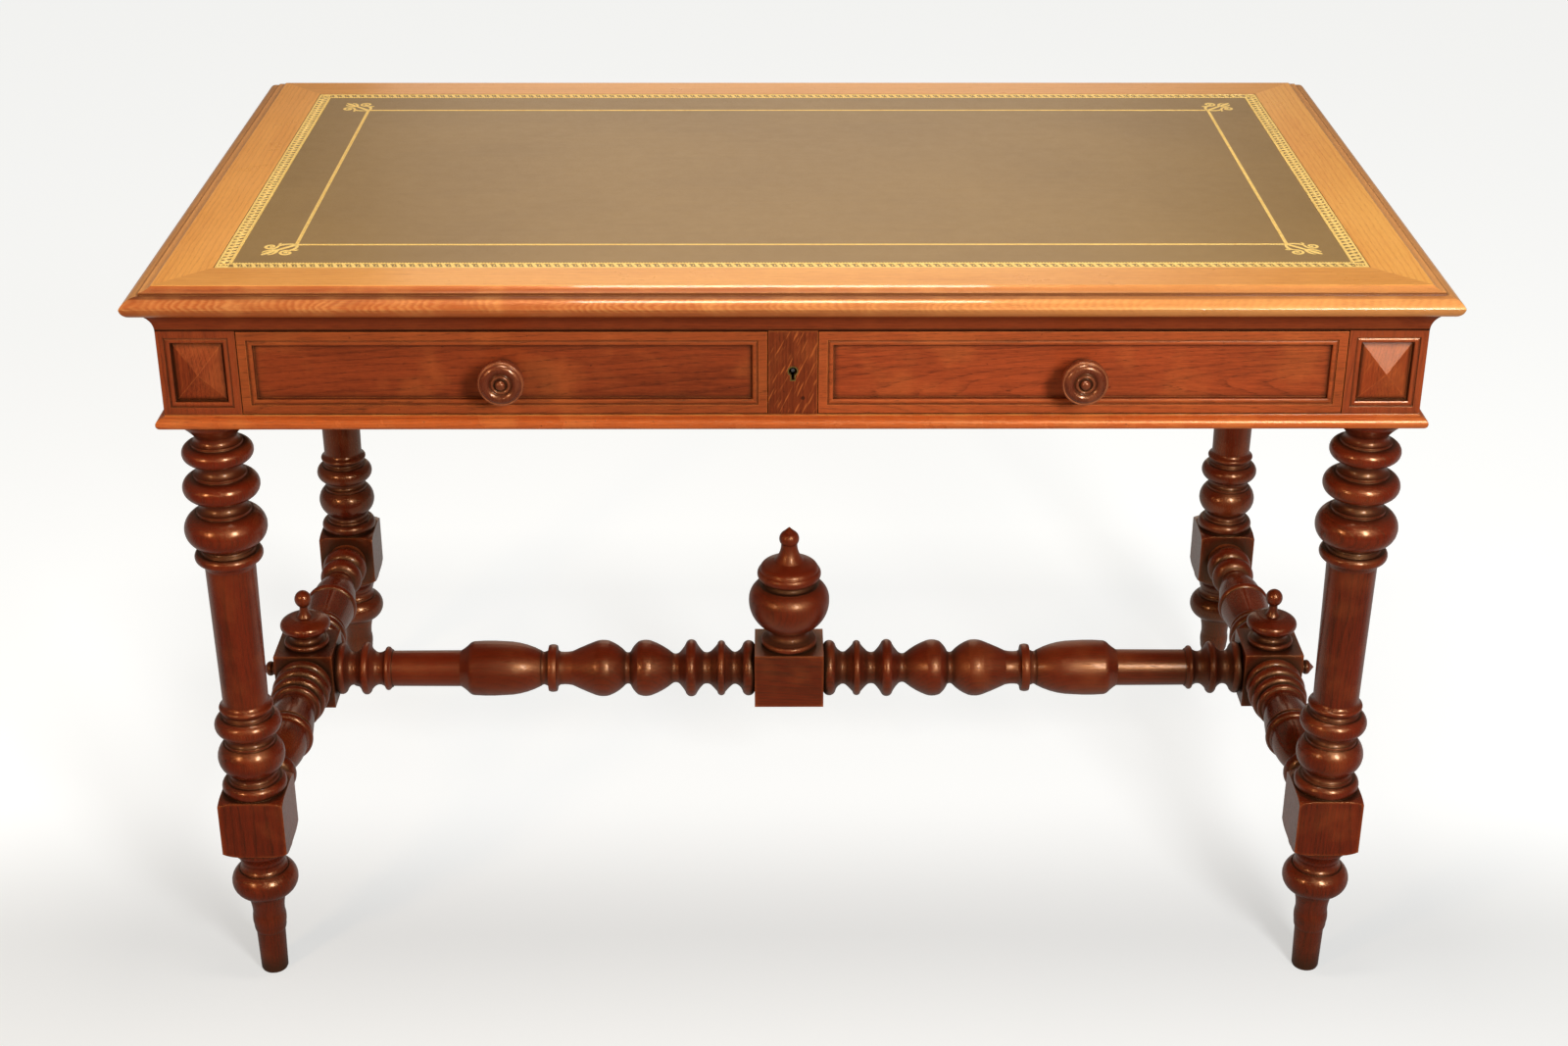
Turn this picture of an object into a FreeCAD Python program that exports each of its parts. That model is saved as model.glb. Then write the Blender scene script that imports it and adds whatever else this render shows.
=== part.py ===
import FreeCAD, Part
import os

from FreeCAD import Placement, Rotation, Vector

# Library table in oak: a framed top with inset leather, a frieze with two drawers, four turned legs
# and a turned H-stretcher. Millimetres. The origin lies on the floor under the middle of the table,
# +Z is up and the drawers face -Y.

# Overall sizes.
table_width = 1170.0
table_depth = 700.0
table_height = 750.0

# Framed top: four mitred rails with a moulded edge round a tongued panel, leather let in flush.
top_thickness = 24.0
top_overhang = 23.0
top_rail_width = 69.5
nosing_width = 24.0
panel_thickness = 18.0
panel_tongue_length = 9.0
panel_tongue_thickness = 7.0
panel_tongue_drop = 7.0
panel_tongue_room = 1.0
leather_thickness = 1.2
leather_sink = 0.2
# Moulded edge from the flat field outwards, as shares of the nosing width and of the thickness.
cavetto_middle_shares = (0.82, 0.115)
cavetto_end_shares = (0.62, 0.15)
quirk_shares = (0.61, 0.25)
nosing_middle_shares = (0.22, 0.335)
nosing_tip_shares = (0.0, 0.58)
nosing_under_middle_shares = (0.10, 0.83)
nosing_under_end_shares = (0.42, 1.0)

# Frieze: square posts at the corners, boards between them, a cove above and a base moulding below.
frieze_height = 111.0
post_width = 70.0
cove_height = 18.5
cove_projection = 6.5
cove_fillet = 3.0
cove_middle_shares = (0.27, 0.46)
base_height = 13.0
base_projection = 7.5
base_cavetto_shares = (0.30, 0.82)
base_cavetto_middle_shares = (0.08, 0.90)
base_nose_middle_shares = (1.0, 0.40)
base_nose_end_shares = (0.52, 0.0)
apron_thickness = 22.0
apron_tenon_length = 30.0
apron_tenon_thickness = 9.0
apron_tenon_shoulder = 14.0
tenon_room = 1.0

# Sunk panels with a bead: on the posts, the drawer fronts and the aprons.
panel_border = 8.0
post_border = 6.5
panel_sink = 4.5
bead_quirk = 1.0
bead_width = 4.0
bead_drop = 0.3
bead_foot = 0.6
boss_rise = 10.0
boss_gap = 0.2

# Front framing: two rails, the muntin between the drawers.
rail_depth = 50.0
rail_tenon_length = 25.0
rail_tenon_width = 26.0
rail_tenon_thickness = 7.0
dovetail_length = 24.0
dovetail_root = 26.0
dovetail_tip = 34.0
dovetail_thickness = 10.0
muntin_width = 44.0
muntin_thickness = 26.0
muntin_tenon_length = 8.0
muntin_tenon_thickness = 8.0

# Drawers.
front_gap = 0.8
front_thickness = 22.0
drawer_back_room = 110.0
side_inset = 10.0
side_thickness = 10.0
side_drop = 2.5
run_gap = 0.3
guide_gap = 0.5
front_tongue_length = 8.0
front_tongue_root = 4.0
front_tongue_tip = 6.0
drawer_back_thickness = 10.0
drawer_back_drop = 5.0
tail_count = 2
tail_root_share = 0.24
tail_tip_share = 0.32
bottom_thickness = 6.0
bottom_rise = 8.0
bottom_groove = 5.0

# Turned knobs.
knob_diameter = 42.0
knob_length = 37.0
knob_spigot_radius = 7.0
round_gap = 0.3
knob_shares = (
    (0.0, 0.52, None),
    (3.0, 0.46, 0.55),
    (7.0, 0.48, 0.38),
    (9.0, 0.95, 0.70),
    (7.0, 0.93, 1.0),
    (4.5, 0.74, 0.88),
    (-2.0, 0.50, 0.60),
    (1.5, 0.36, 0.45),
    (-1.5, 0.25, 0.29),
    (4.5, 0.06, 0.21),
)

# Runners, guides, kickers and stops that carry the drawers.
runner_width = 30.0
centre_runner_width = 76.0
carrier_tongue_length = 8.0
carrier_tongue_thickness = 5.0
carrier_tongue_shoulder = 5.0
guide_height = 24.0
stop_length = 45.0
stop_depth = 16.0
stop_height = 5.0
stop_place_share = 0.22
glue_block_leg = 22.0
glue_block_length = 60.0
glue_block_place_share = 0.45

# Central lock that shoots a bolt into each drawer.
keyhole_height_share = 0.52
keyhole_radius = 4.7
keyhole_slot_width = 4.6
keyhole_slot_drop = 9.2
liner_wall = 0.9
liner_proud = 0.4
lock_width = 33.0
lock_height = 40.0
lock_depth = 15.0
lock_wall = 1.5
lock_pin_radius = 1.6
lock_pin_set_back = 2.5
bolt_thickness = 6.0
bolt_height = 10.0
bolt_rise = 9.0
bolt_inner_end = 3.0
bolt_set_back = 0.3
bolt_throw = 9.0
bolt_gap = 0.3
bolt_mortise_room = 2.0

# Turned legs. Each table runs upwards: part of the length, radius share at its end, radius share at
# its middle for a round stretch. Radius shares are of half the turning stock.
leg_stock = 78.4
leg_block_width = 63.0
leg_block_height = 62.0
leg_block_bottom = 152.5
leg_lower_height = 100.0
leg_upper_height = 155.0
shoulder_height = 5.0
shoulder_waist_share = 0.96
shoulder_middle_share = 1.30
shoulder_full_share = 1.46
shoulder_rise_share = 0.34
foot_shares = (
    (0.0, 0.32, None),
    (2.0, 0.342, None),
    (46.0, 0.367, None),
    (0.0, 0.385, None),
    (6.5, 0.41, 0.405),
    (15.0, 0.405, 0.428),
    (14.5, 0.445, 0.413),
    (8.5, 0.49, 0.46),
    (30.0, 0.64, 0.832),
    (0.0, 0.6, None),
    (2.0, 0.6, None),
    (8.5, 0.57, 0.545),
    (12.5, 0.74, 0.62),
    (7.0, 0.76, 0.775),
)
leg_lower_shares = (
    (0.0, 0.74, None),
    (12.5, 0.7, 0.8),
    (0.0, 0.64, None),
    (2.5, 0.62, None),
    (6.5, 0.6, 0.565),
    (32.0, 0.66, 0.825),
    (0.0, 0.63, None),
    (2.5, 0.62, None),
    (8.0, 0.58, 0.55),
    (20.0, 0.67, 0.82),
    (0.0, 0.62, None),
    (2.0, 0.61, None),
    (4.5, 0.6, 0.575),
    (5.5, 0.62, 0.665),
    (4.0, 0.556, 0.575),
)
leg_shaft_top_share = 0.602
leg_upper_shares = (
    (5.5, 0.66, 0.635),
    (11.0, 0.74, 0.81),
    (0.0, 0.66, None),
    (2.5, 0.64, None),
    (4.0, 0.66, 0.61),
    (33.5, 0.69, 0.975),
    (0.0, 0.65, None),
    (2.5, 0.64, None),
    (13.0, 0.56, 0.515),
    (21.5, 0.67, 0.905),
    (0.0, 0.63, None),
    (2.5, 0.62, None),
    (13.0, 0.56, 0.505),
    (16.5, 0.66, 0.835),
    (0.0, 0.61, None),
    (2.0, 0.6, None),
    (8.5, 0.52, 0.5),
    (11.0, 0.78, 0.64),
    (8.0, 0.875, 0.845),
)

# Turned stretchers: side stretchers between the legs, a centre stretcher between their blocks.
stretcher_stock = 63.0
stretcher_block_width = 63.0
centre_block_length = 75.0
stretcher_tenon_radius = 10.0
stretcher_tenon_length = 22.0
centre_stretcher_shares = (
    (0.0, 0.8, None),
    (13.5, 0.8, 0.97),
    (5.0, 0.6, 0.66),
    (6.5, 0.6, 0.565),
    (7.5, 0.84, 0.71),
    (8.5, 0.84, 0.965),
    (7.0, 0.6, 0.71),
    (8.5, 0.58, 0.55),
    (7.0, 0.86, 0.7),
    (12.5, 0.84, 1.0),
    (6.5, 0.56, 0.68),
    (8.0, 0.54, 0.505),
    (23.0, 0.955, 0.79),
    (14.5, 0.93, 0.985),
    (8.5, 0.58, 0.8),
    (5.5, 0.58, 0.55),
    (17.5, 0.955, 0.815),
    (15.5, 0.94, 0.985),
    (25.0, 0.6, 0.78),
    (13.5, 0.58, 0.57),
    (3.5, 0.7, 0.62),
    (0.0, 0.8, None),
    (9.0, 0.8, 0.835),
    (0.0, 0.68, None),
    (3.0, 0.6, 0.62),
    (5.5, 0.62, 0.575),
    (40.0, 0.945, 0.865),
    (33.0, 0.945, 0.965),
    (5.0, 0.88, 0.925),
    (10.0, 0.63, 0.74),
    (75.0, 0.62, None),
    (0.0, 0.66, None),
    (2.5, 0.72, 0.68),
    (5.0, 0.7, 0.765),
    (3.0, 0.6, 0.63),
    (8.0, 0.6, 0.565),
    (5.5, 0.78, 0.67),
    (9.0, 0.78, 0.915),
    (5.5, 0.6, 0.67),
    (7.5, 0.6, 0.57),
    (4.0, 0.76, 0.66),
    (10.5, 0.8, 0.9),
)
side_stretcher_shares = (
    (0.0, 0.8, None),
    (12.0, 0.76, 0.95),
    (4.0, 0.74, 0.7),
    (14.0, 0.78, 0.98),
    (4.0, 0.76, 0.71),
    (12.0, 0.74, 0.935),
    (3.5, 0.72, 0.68),
    (8.0, 0.72, 0.84),
    (7.0, 0.69, 0.665),
    (42.0, 0.86, 0.79),
    (0.0, 0.8, None),
    (3.0, 0.8, 0.78),
    (10.0, 0.82, 0.92),
    (3.0, 0.78, None),
    (50.0, 0.46, 0.72),
    (4.0, 0.48, 0.45),
    (20.0, 0.55, 0.77),
    (5.0, 0.55, 0.505),
    (21.0, 0.62, 0.81),
    (8.5, 0.7, 0.64),
)

# Finials on the stretcher blocks and pointed buttons on the outer faces of the side blocks.
finial_peg_radius = 7.0
finial_peg_length = 18.0
centre_finial_height = 141.0
centre_finial_stock = 87.2
centre_finial_shares = (
    (0.0, 0.62, None),
    (8.0, 0.62, 0.7),
    (2.0, 0.54, None),
    (9.5, 0.49, 0.465),
    (35.5, 1.0, 0.92),
    (16.0, 0.81, 0.96),
    (2.0, 0.74, None),
    (0.0, 0.65, None),
    (7.5, 0.61, 0.59),
    (0.0, 0.74, None),
    (10.0, 0.73, 0.79),
    (6.0, 0.61, 0.7),
    (4.0, 0.37, None),
    (20.0, 0.2, 0.235),
    (13.5, 0.15, 0.245),
    (6.0, 0.0, None),
)
side_finial_height = 65.0
side_finial_stock = 54.0
side_finial_shares = (
    (0.0, 0.80, None),
    (7.0, 0.78, 0.90),
    (8.0, 0.66, 0.61),
    (3.0, 0.86, None),
    (11.0, 0.90, 1.0),
    (4.0, 0.55, 0.78),
    (0.5, 0.53, None),
    (0.0, 0.30, None),
    (12.5, 0.17, 0.19),
    (18.0, 0.06, 0.335),
    (0.5, 0.0, None),
)
button_height = 20.0
button_stock = 27.0
button_peg_radius = 5.0
button_peg_length = 14.0
button_shares = (
    (0.0, 0.92, None),
    (5.0, 0.80, 1.0),
    (3.0, 0.50, 0.54),
    (7.0, 0.42, 0.60),
    (5.0, 0.0, None),
)

# Cuts run past the faces that they open by this much.
overrun = 2.0
full_turn = 360.0
quarter_turn = 90.0
half_turn = 180.0

# Places worked out from the sizes above.
frieze_half_width = table_width / 2 - top_overhang
frieze_half_depth = table_depth / 2 - top_overhang
frieze_top = table_height - top_thickness
frieze_bottom = frieze_top - frieze_height
opening_top = frieze_top - cove_height
opening_bottom = frieze_bottom + base_height
opening_height = opening_top - opening_bottom
leg_x = frieze_half_width - post_width / 2
leg_y = frieze_half_depth - post_width / 2
post_inner_x = leg_x - post_width / 2
post_inner_y = leg_y - post_width / 2
front_face_y = -frieze_half_depth
rail_back_y = front_face_y + rail_depth
back_board_y = frieze_half_depth - apron_thickness
stretcher_z = leg_block_bottom + leg_block_height / 2
panel_frame_width = bead_quirk + bead_width + bead_foot
keyhole_z = opening_bottom + opening_height * keyhole_height_share
bolt_y = front_face_y + muntin_thickness - lock_depth / 2
bolt_z = keyhole_z + bolt_rise

up = Vector(0, 0, 1)
along_x = Rotation(Vector(0, 1, 0), quarter_turn)
along_y = Rotation(Vector(1, 0, 0), -quarter_turn)
upright = Rotation()
side_angles = {"front": 0, "right": quarter_turn, "back": half_turn, "left": -quarter_turn}


def slab(xs, ys, zs):
    """Box between two values on each axis, given in either order."""
    low = Vector(min(xs), min(ys), min(zs))
    return Part.makeBox(max(xs) - low.x, max(ys) - low.y, max(zs) - low.z, low)


def placed(shape, rotation, position):
    """The shape turned about the origin, then moved."""
    copy = shape.copy()
    copy.Placement = Placement(position, rotation).multiply(copy.Placement)
    return copy


def turned_to(shape, side):
    """A shape made for the front, turned about the table's middle to face the named side."""
    return placed(shape, Rotation(up, side_angles[side]), Vector(0, 0, 0))


def rod(radius, length, start, direction):
    """Round peg or hole from a point along a direction."""
    return Part.makeCylinder(radius, length, start, direction)


def outline(start, steps):
    """Face inside straight steps (end,) and round steps (middle, end), closed back to the start."""
    edges = []
    here = start
    for step in steps:
        end = step[-1]
        if len(step) == 2:
            edges.append(Part.Arc(here, step[0], end).toShape())
        else:
            edges.append(Part.LineSegment(here, end).toShape())
        here = end
    edges.append(Part.LineSegment(here, start).toShape())
    return Part.Face(Part.Wire(edges))


def prism(points, sweep):
    """Straight-sided solid from a plane polygon swept along a vector."""
    return Part.Face(Part.makePolygon(points + [points[0]])).extrude(sweep)


def joined(shapes):
    """One clean solid from touching solids."""
    return shapes[0].fuse(shapes[1:]).removeSplitter()


def turned_edges(shares, length, radius, base, start=None):
    """Edges of a turning profile that rises from the height base, and its last point."""
    total = sum(row[0] for row in shares)
    rows = list(shares)
    here = start
    if here is None:
        here = Vector(rows.pop(0)[1] * radius, 0, base)
    edges = []
    for part_share, end_share, middle_share in rows:
        rise = length * part_share / total
        end = Vector(end_share * radius, 0, here.z + rise)
        if middle_share is None:
            edges.append(Part.LineSegment(here, end).toShape())
        else:
            middle = Vector(middle_share * radius, 0, here.z + rise / 2)
            edges.append(Part.Arc(here, middle, end).toShape())
        here = end
    return edges, here


def lathe(edges):
    """Solid of revolution about Z inside a profile, closed over the axis."""
    first = edges[0].firstVertex().Point
    last = edges[-1].lastVertex().Point
    foot = Vector(0, 0, first.z)
    head = Vector(0, 0, last.z)
    closed = [Part.LineSegment(foot, first).toShape()] + edges
    if last.x > 0:
        closed.append(Part.LineSegment(last, head).toShape())
    closed.append(Part.LineSegment(head, foot).toShape())
    solid = Part.Face(Part.Wire(closed)).revolve(Vector(0, 0, 0), up, full_turn)
    if solid.Volume < 0:
        solid.reverse()
    return solid


def turning(shares, length, stock):
    """Turned solid that stands on z = 0."""
    edges, _ = turned_edges(shares, length, stock / 2, 0)
    return lathe(edges)


def mitred_strip(start, steps, half_run, half_across, inner, outer):
    """Front strip of a moulding round a rectangle, mitred at both ends.

    The section is in (out, z) pairs, out from the rectangle's front edge, between -inner and outer.
    """
    end_x = half_run + outer

    def at(pair):
        return Vector(-end_x, -half_across - pair[0], pair[1])

    face = outline(at(start), [tuple(at(pair) for pair in step) for step in steps])
    strip = face.extrude(Vector(end_x * 2, 0, 0))
    box = strip.BoundBox
    plan = [
        Vector(-end_x, -half_across - outer, box.ZMin),
        Vector(end_x, -half_across - outer, box.ZMin),
        Vector(half_run - inner, -half_across + inner, box.ZMin),
        Vector(-half_run + inner, -half_across + inner, box.ZMin),
    ]
    return strip.common(prism(plan, Vector(0, 0, box.ZLength)))


def round_the_table(maker, half_width, half_depth):
    """The maker's strip for each side, where maker takes half the run and half the distance across."""
    strips = {}
    for side in side_angles:
        halves = (half_width, half_depth)
        if side in ("left", "right"):
            halves = (half_depth, half_width)
        strips[side] = turned_to(maker(*halves), side)
    return strips


def top_rail(half_run, half_across):
    """Rail of the top's frame: moulded outer edge, grooved inner edge."""

    def edge(shares):
        return (-nosing_width * shares[0], table_height - top_thickness * shares[1])

    groove_top = table_height - panel_tongue_drop
    groove_end = -top_rail_width + panel_tongue_length + panel_tongue_room
    steps = [
        (edge(nosing_under_end_shares),),
        (edge(nosing_under_middle_shares), edge(nosing_tip_shares)),
        (edge(nosing_middle_shares), edge(quirk_shares)),
        (edge(cavetto_end_shares),),
        (edge(cavetto_middle_shares), (-nosing_width, table_height)),
        ((-top_rail_width, table_height),),
        ((-top_rail_width, groove_top),),
        ((groove_end, groove_top),),
        ((groove_end, groove_top - panel_tongue_thickness),),
        ((-top_rail_width, groove_top - panel_tongue_thickness),),
    ]
    return mitred_strip((-top_rail_width, frieze_top), steps, half_run, half_across, top_rail_width, 0)


def cove_strip(half_run, half_across):
    """Cove under the top: a fillet above a hollow that dies into the frieze."""
    middle = (cove_projection * cove_middle_shares[0], opening_top + cove_height * cove_middle_shares[1])
    fillet_z = frieze_top - cove_fillet
    steps = [
        (middle, (cove_projection, fillet_z)),
        ((cove_projection, frieze_top),),
        ((0, frieze_top),),
    ]
    return mitred_strip((0, opening_top), steps, half_run, half_across, 0, cove_projection)


def base_strip(half_run, half_across):
    """Base moulding of the frieze: a small cavetto above a round nose."""

    def at(shares):
        return (base_projection * shares[0], frieze_bottom + base_height * shares[1])

    steps = [
        (at(base_nose_end_shares),),
        (at(base_nose_middle_shares), at(base_cavetto_shares)),
        (at(base_cavetto_middle_shares), (0, opening_bottom)),
    ]
    return mitred_strip((0, frieze_bottom), steps, half_run, half_across, 0, base_projection)


def bead_strip(run):
    """Bead along the lower edge of a sunk panel: z from that edge, y from the face, mitred ends."""
    end_x = run / 2

    def at(inward, depth):
        return Vector(-end_x, depth, inward)

    bead_end = bead_quirk + bead_width
    steps = [
        (at(0, bead_quirk),),
        (at(bead_quirk, bead_quirk),),
        (at(bead_quirk + bead_width / 2, bead_drop), at(bead_end, bead_quirk)),
        (at(panel_frame_width, panel_sink),),
    ]
    strip = outline(at(0, panel_sink), steps).extrude(Vector(run, 0, 0))
    reach = panel_frame_width
    plan = [
        Vector(-end_x, 0, 0),
        Vector(end_x, 0, 0),
        Vector(end_x - reach, 0, reach),
        Vector(-end_x + reach, 0, reach),
    ]
    return strip.common(prism(plan, Vector(0, panel_sink, 0)))


def bead_frame(width, height):
    """Four mitred beads round a panel centred on the origin, whose face looks along -Y."""
    strips = []
    for index in range(4):
        level = index % 2 == 0
        run = width if level else height
        drop = height / 2 if level else width / 2
        strip = placed(bead_strip(run), upright, Vector(0, 0, -drop))
        strips.append(placed(strip, Rotation(Vector(0, 1, 0), quarter_turn * index), Vector(0, 0, 0)))
    return joined(strips)


def sunk_panel(board, width, height, centre, side):
    """The board with a sunk panel and its bead let into one face."""
    pocket = slab((-width / 2, width / 2), (-overrun, panel_sink), (-height / 2, height / 2))
    turn = Rotation(up, side_angles[side])
    hollow = board.cut(placed(pocket, turn, centre))
    return joined([hollow, placed(bead_frame(width, height), turn, centre)])


def boss(width, height, centre, side):
    """Pyramid that fills a sunk panel, its point standing out of the face."""
    half_w = width / 2 - panel_frame_width - boss_gap
    half_h = height / 2 - panel_frame_width - boss_gap
    corners = [
        Vector(-half_w, panel_sink, -half_h),
        Vector(half_w, panel_sink, -half_h),
        Vector(half_w, panel_sink, half_h),
        Vector(-half_w, panel_sink, half_h),
    ]
    point = Vector(0, panel_sink - boss_rise, 0)
    faces = [Part.Face(Part.makePolygon(corners + [corners[0]]))]
    for index, corner in enumerate(corners):
        following = corners[(index + 1) % len(corners)]
        faces.append(Part.Face(Part.makePolygon([corner, following, point, corner])))
    solid = Part.Solid(Part.Shell(faces))
    if solid.Volume < 0:
        solid.reverse()
    return placed(solid, Rotation(up, side_angles[side]), centre)


def side_apron_tenon(sign_x, sign_y, room):
    """Tenon of a side apron in a post."""
    middle_x = frieze_half_width - apron_thickness / 2
    xs = [sign_x * (middle_x + half * apron_tenon_thickness / 2) for half in (-1, 1)]
    ys = (sign_y * post_inner_y, sign_y * (post_inner_y + apron_tenon_length + room))
    return slab(xs, ys, (frieze_bottom + apron_tenon_shoulder, frieze_top - apron_tenon_shoulder))


def back_apron_tenon(sign_x, room):
    """Tenon of the back apron in a post."""
    middle_y = frieze_half_depth - apron_thickness / 2
    ys = [middle_y + half * apron_tenon_thickness / 2 for half in (-1, 1)]
    xs = (sign_x * post_inner_x, sign_x * (post_inner_x + apron_tenon_length + room))
    return slab(xs, ys, (frieze_bottom + apron_tenon_shoulder, frieze_top - apron_tenon_shoulder))


def bottom_rail_tenon(sign_x, room):
    """Tenon of the front bottom rail in a post."""
    middle_y = front_face_y + rail_depth / 2
    middle_z = frieze_bottom + base_height / 2
    ys = [middle_y + half * rail_tenon_width / 2 for half in (-1, 1)]
    zs = [middle_z + half * rail_tenon_thickness / 2 for half in (-1, 1)]
    return slab((sign_x * post_inner_x, sign_x * (post_inner_x + rail_tenon_length + room)), ys, zs)


def top_rail_dovetail(sign_x):
    """Dovetail of the front top rail, let down into the top of a post."""
    middle_y = front_face_y + rail_depth / 2
    root_x = sign_x * post_inner_x
    tip_x = sign_x * (post_inner_x + dovetail_length)
    low = frieze_top - dovetail_thickness
    points = [
        Vector(root_x, middle_y - dovetail_root / 2, low),
        Vector(tip_x, middle_y - dovetail_tip / 2, low),
        Vector(tip_x, middle_y + dovetail_tip / 2, low),
        Vector(root_x, middle_y + dovetail_root / 2, low),
    ]
    return prism(points, Vector(0, 0, dovetail_thickness))


def leg_turnings():
    """Leg on the Z axis: foot, square block with turned shoulders, lower turning, shaft, upper turning."""
    radius = leg_stock / 2
    block_top = leg_block_bottom + leg_block_height
    foot_edges, _ = turned_edges(foot_shares, leg_block_bottom, radius, 0)
    edges, here = turned_edges(leg_lower_shares, leg_lower_height, radius, block_top)
    shaft_top = Vector(leg_shaft_top_share * radius, 0, frieze_bottom - leg_upper_height)
    edges.append(Part.LineSegment(here, shaft_top).toShape())
    upper_edges, _ = turned_edges(leg_upper_shares, leg_upper_height, radius, shaft_top.z, shaft_top)
    return joined([lathe(foot_edges), shouldered_block(), lathe(edges + upper_edges)])


def shouldered_block():
    """Square block of a leg, its corners rounded over at both ends by the turning tool."""
    half = leg_block_width / 2
    low = leg_block_bottom
    high = leg_block_bottom + leg_block_height
    waist = shoulder_waist_share * half
    middle = shoulder_middle_share * half
    full = shoulder_full_share * half
    profile = [
        Part.Arc(
            Vector(waist, 0, low),
            Vector(middle, 0, low + shoulder_height * shoulder_rise_share),
            Vector(full, 0, low + shoulder_height),
        ).toShape(),
        Part.LineSegment(
            Vector(full, 0, low + shoulder_height), Vector(full, 0, high - shoulder_height)
        ).toShape(),
        Part.Arc(
            Vector(full, 0, high - shoulder_height),
            Vector(middle, 0, high - shoulder_height * shoulder_rise_share),
            Vector(waist, 0, high),
        ).toShape(),
    ]
    return slab((-half, half), (-half, half), (low, high)).common(lathe(profile))


def post_panel_size():
    """Width and height of the sunk panel on a post."""
    return post_width - post_border * 2, opening_height - post_border * 2


def post_panel_centres(sign_x, sign_y):
    """Centre of the panel on each outer face of a post, by the side that it faces."""
    middle_z = opening_bottom + opening_height / 2
    return {
        "left" if sign_x < 0 else "right": Vector(sign_x * frieze_half_width, sign_y * leg_y, middle_z),
        "front" if sign_y < 0 else "back": Vector(sign_x * leg_x, sign_y * frieze_half_depth, middle_z),
    }


def leg(turnings, sign_x, sign_y):
    """One leg with its post, mortised for the frieze boards and bored for the side stretcher."""
    centre = Vector(sign_x * leg_x, sign_y * leg_y, 0)
    half = post_width / 2
    post = slab((-half, half), (-half, half), (frieze_bottom, frieze_top))
    piece = placed(joined([turnings, post]), upright, centre)
    width, height = post_panel_size()
    for side, middle in post_panel_centres(sign_x, sign_y).items():
        piece = sunk_panel(piece, width, height, middle, side)
    mortises = [side_apron_tenon(sign_x, sign_y, tenon_room)]
    if sign_y > 0:
        mortises.append(back_apron_tenon(sign_x, tenon_room))
    else:
        mortises.append(bottom_rail_tenon(sign_x, tenon_room))
        mortises.append(top_rail_dovetail(sign_x))
    inner_face = Vector(centre.x, sign_y * (leg_y - leg_block_width / 2), stretcher_z)
    depth = stretcher_tenon_length + tenon_room
    mortises.append(rod(stretcher_tenon_radius + round_gap, depth, inner_face, Vector(0, sign_y, 0)))
    return piece.cut(mortises)


def side_apron(sign_x):
    """Side apron between two posts, with a sunk panel outside."""
    outer_x = sign_x * frieze_half_width
    inner_x = sign_x * (frieze_half_width - apron_thickness)
    board = slab((outer_x, inner_x), (-post_inner_y, post_inner_y), (frieze_bottom, frieze_top))
    side = "left" if sign_x < 0 else "right"
    centre = Vector(outer_x, 0, opening_bottom + opening_height / 2)
    board = sunk_panel(
        board, (post_inner_y - panel_border) * 2, opening_height - panel_border * 2, centre, side
    )
    return joined([board] + [side_apron_tenon(sign_x, sign_y, 0) for sign_y in (-1, 1)])


def back_apron():
    """Back apron with two sunk panels that repeat the drawer fronts."""
    ys = (back_board_y, frieze_half_depth)
    board = slab((-post_inner_x, post_inner_x), ys, (frieze_bottom, frieze_top))
    width = post_inner_x - muntin_width / 2 - panel_border * 2
    middle_x = (post_inner_x + muntin_width / 2) / 2
    for sign_x in (-1, 1):
        centre = Vector(sign_x * middle_x, frieze_half_depth, opening_bottom + opening_height / 2)
        board = sunk_panel(board, width, opening_height - panel_border * 2, centre, "back")
    board = joined([board] + [back_apron_tenon(sign_x, 0) for sign_x in (-1, 1)])
    tongues = carrier_tongues(frieze_bottom, opening_bottom) + carrier_tongues(opening_top, frieze_top)
    return board.cut(tongues)


def muntin_tenon(end_z, direction):
    """Stub tenon of the muntin in a rail."""
    middle_y = front_face_y + muntin_thickness / 2
    half_x = muntin_width / 2 - panel_border
    ys = [middle_y + half * muntin_tenon_thickness / 2 for half in (-1, 1)]
    return slab((-half_x, half_x), ys, (end_z, end_z + direction * muntin_tenon_length))


def front_bottom_rail():
    """Rail under the drawers."""
    rail = slab((-post_inner_x, post_inner_x), (front_face_y, rail_back_y), (frieze_bottom, opening_bottom))
    rail = joined([rail] + [bottom_rail_tenon(sign_x, 0) for sign_x in (-1, 1)])
    return rail.cut([muntin_tenon(opening_bottom, -1)] + carrier_tongues(frieze_bottom, opening_bottom))


def front_top_rail():
    """Rail above the drawers, dovetailed into the posts."""
    rail = slab((-post_inner_x, post_inner_x), (front_face_y, rail_back_y), (opening_top, frieze_top))
    rail = joined([rail] + [top_rail_dovetail(sign_x) for sign_x in (-1, 1)])
    return rail.cut([muntin_tenon(opening_top, 1)] + carrier_tongues(opening_top, frieze_top))


def keyhole(radius, slot_width, start_y, end_y):
    """Keyhole-shaped plug along Y: a round with a slot below it."""
    length = end_y - start_y
    round_part = rod(radius, length, Vector(0, start_y, keyhole_z), Vector(0, 1, 0))
    half = slot_width / 2
    low = keyhole_z - keyhole_slot_drop + (keyhole_radius - radius)
    return joined([round_part, slab((-half, half), (start_y, end_y), (low, keyhole_z))])


def bolt_slot(end_x, room):
    """Straight way for both bolts through the muntin and the lock case, out to end_x either side."""
    half_y = bolt_thickness / 2 + room
    half_z = bolt_height / 2 + room
    return slab((-end_x, end_x), (bolt_y - half_y, bolt_y + half_y), (bolt_z - half_z, bolt_z + half_z))


def lock_box():
    """Outside of the lock case, let into the back of the muntin."""
    back_y = front_face_y + muntin_thickness
    zs = (keyhole_z - lock_height / 2, keyhole_z + lock_height / 2)
    return slab((-lock_width / 2, lock_width / 2), (back_y - lock_depth, back_y), zs)


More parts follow.
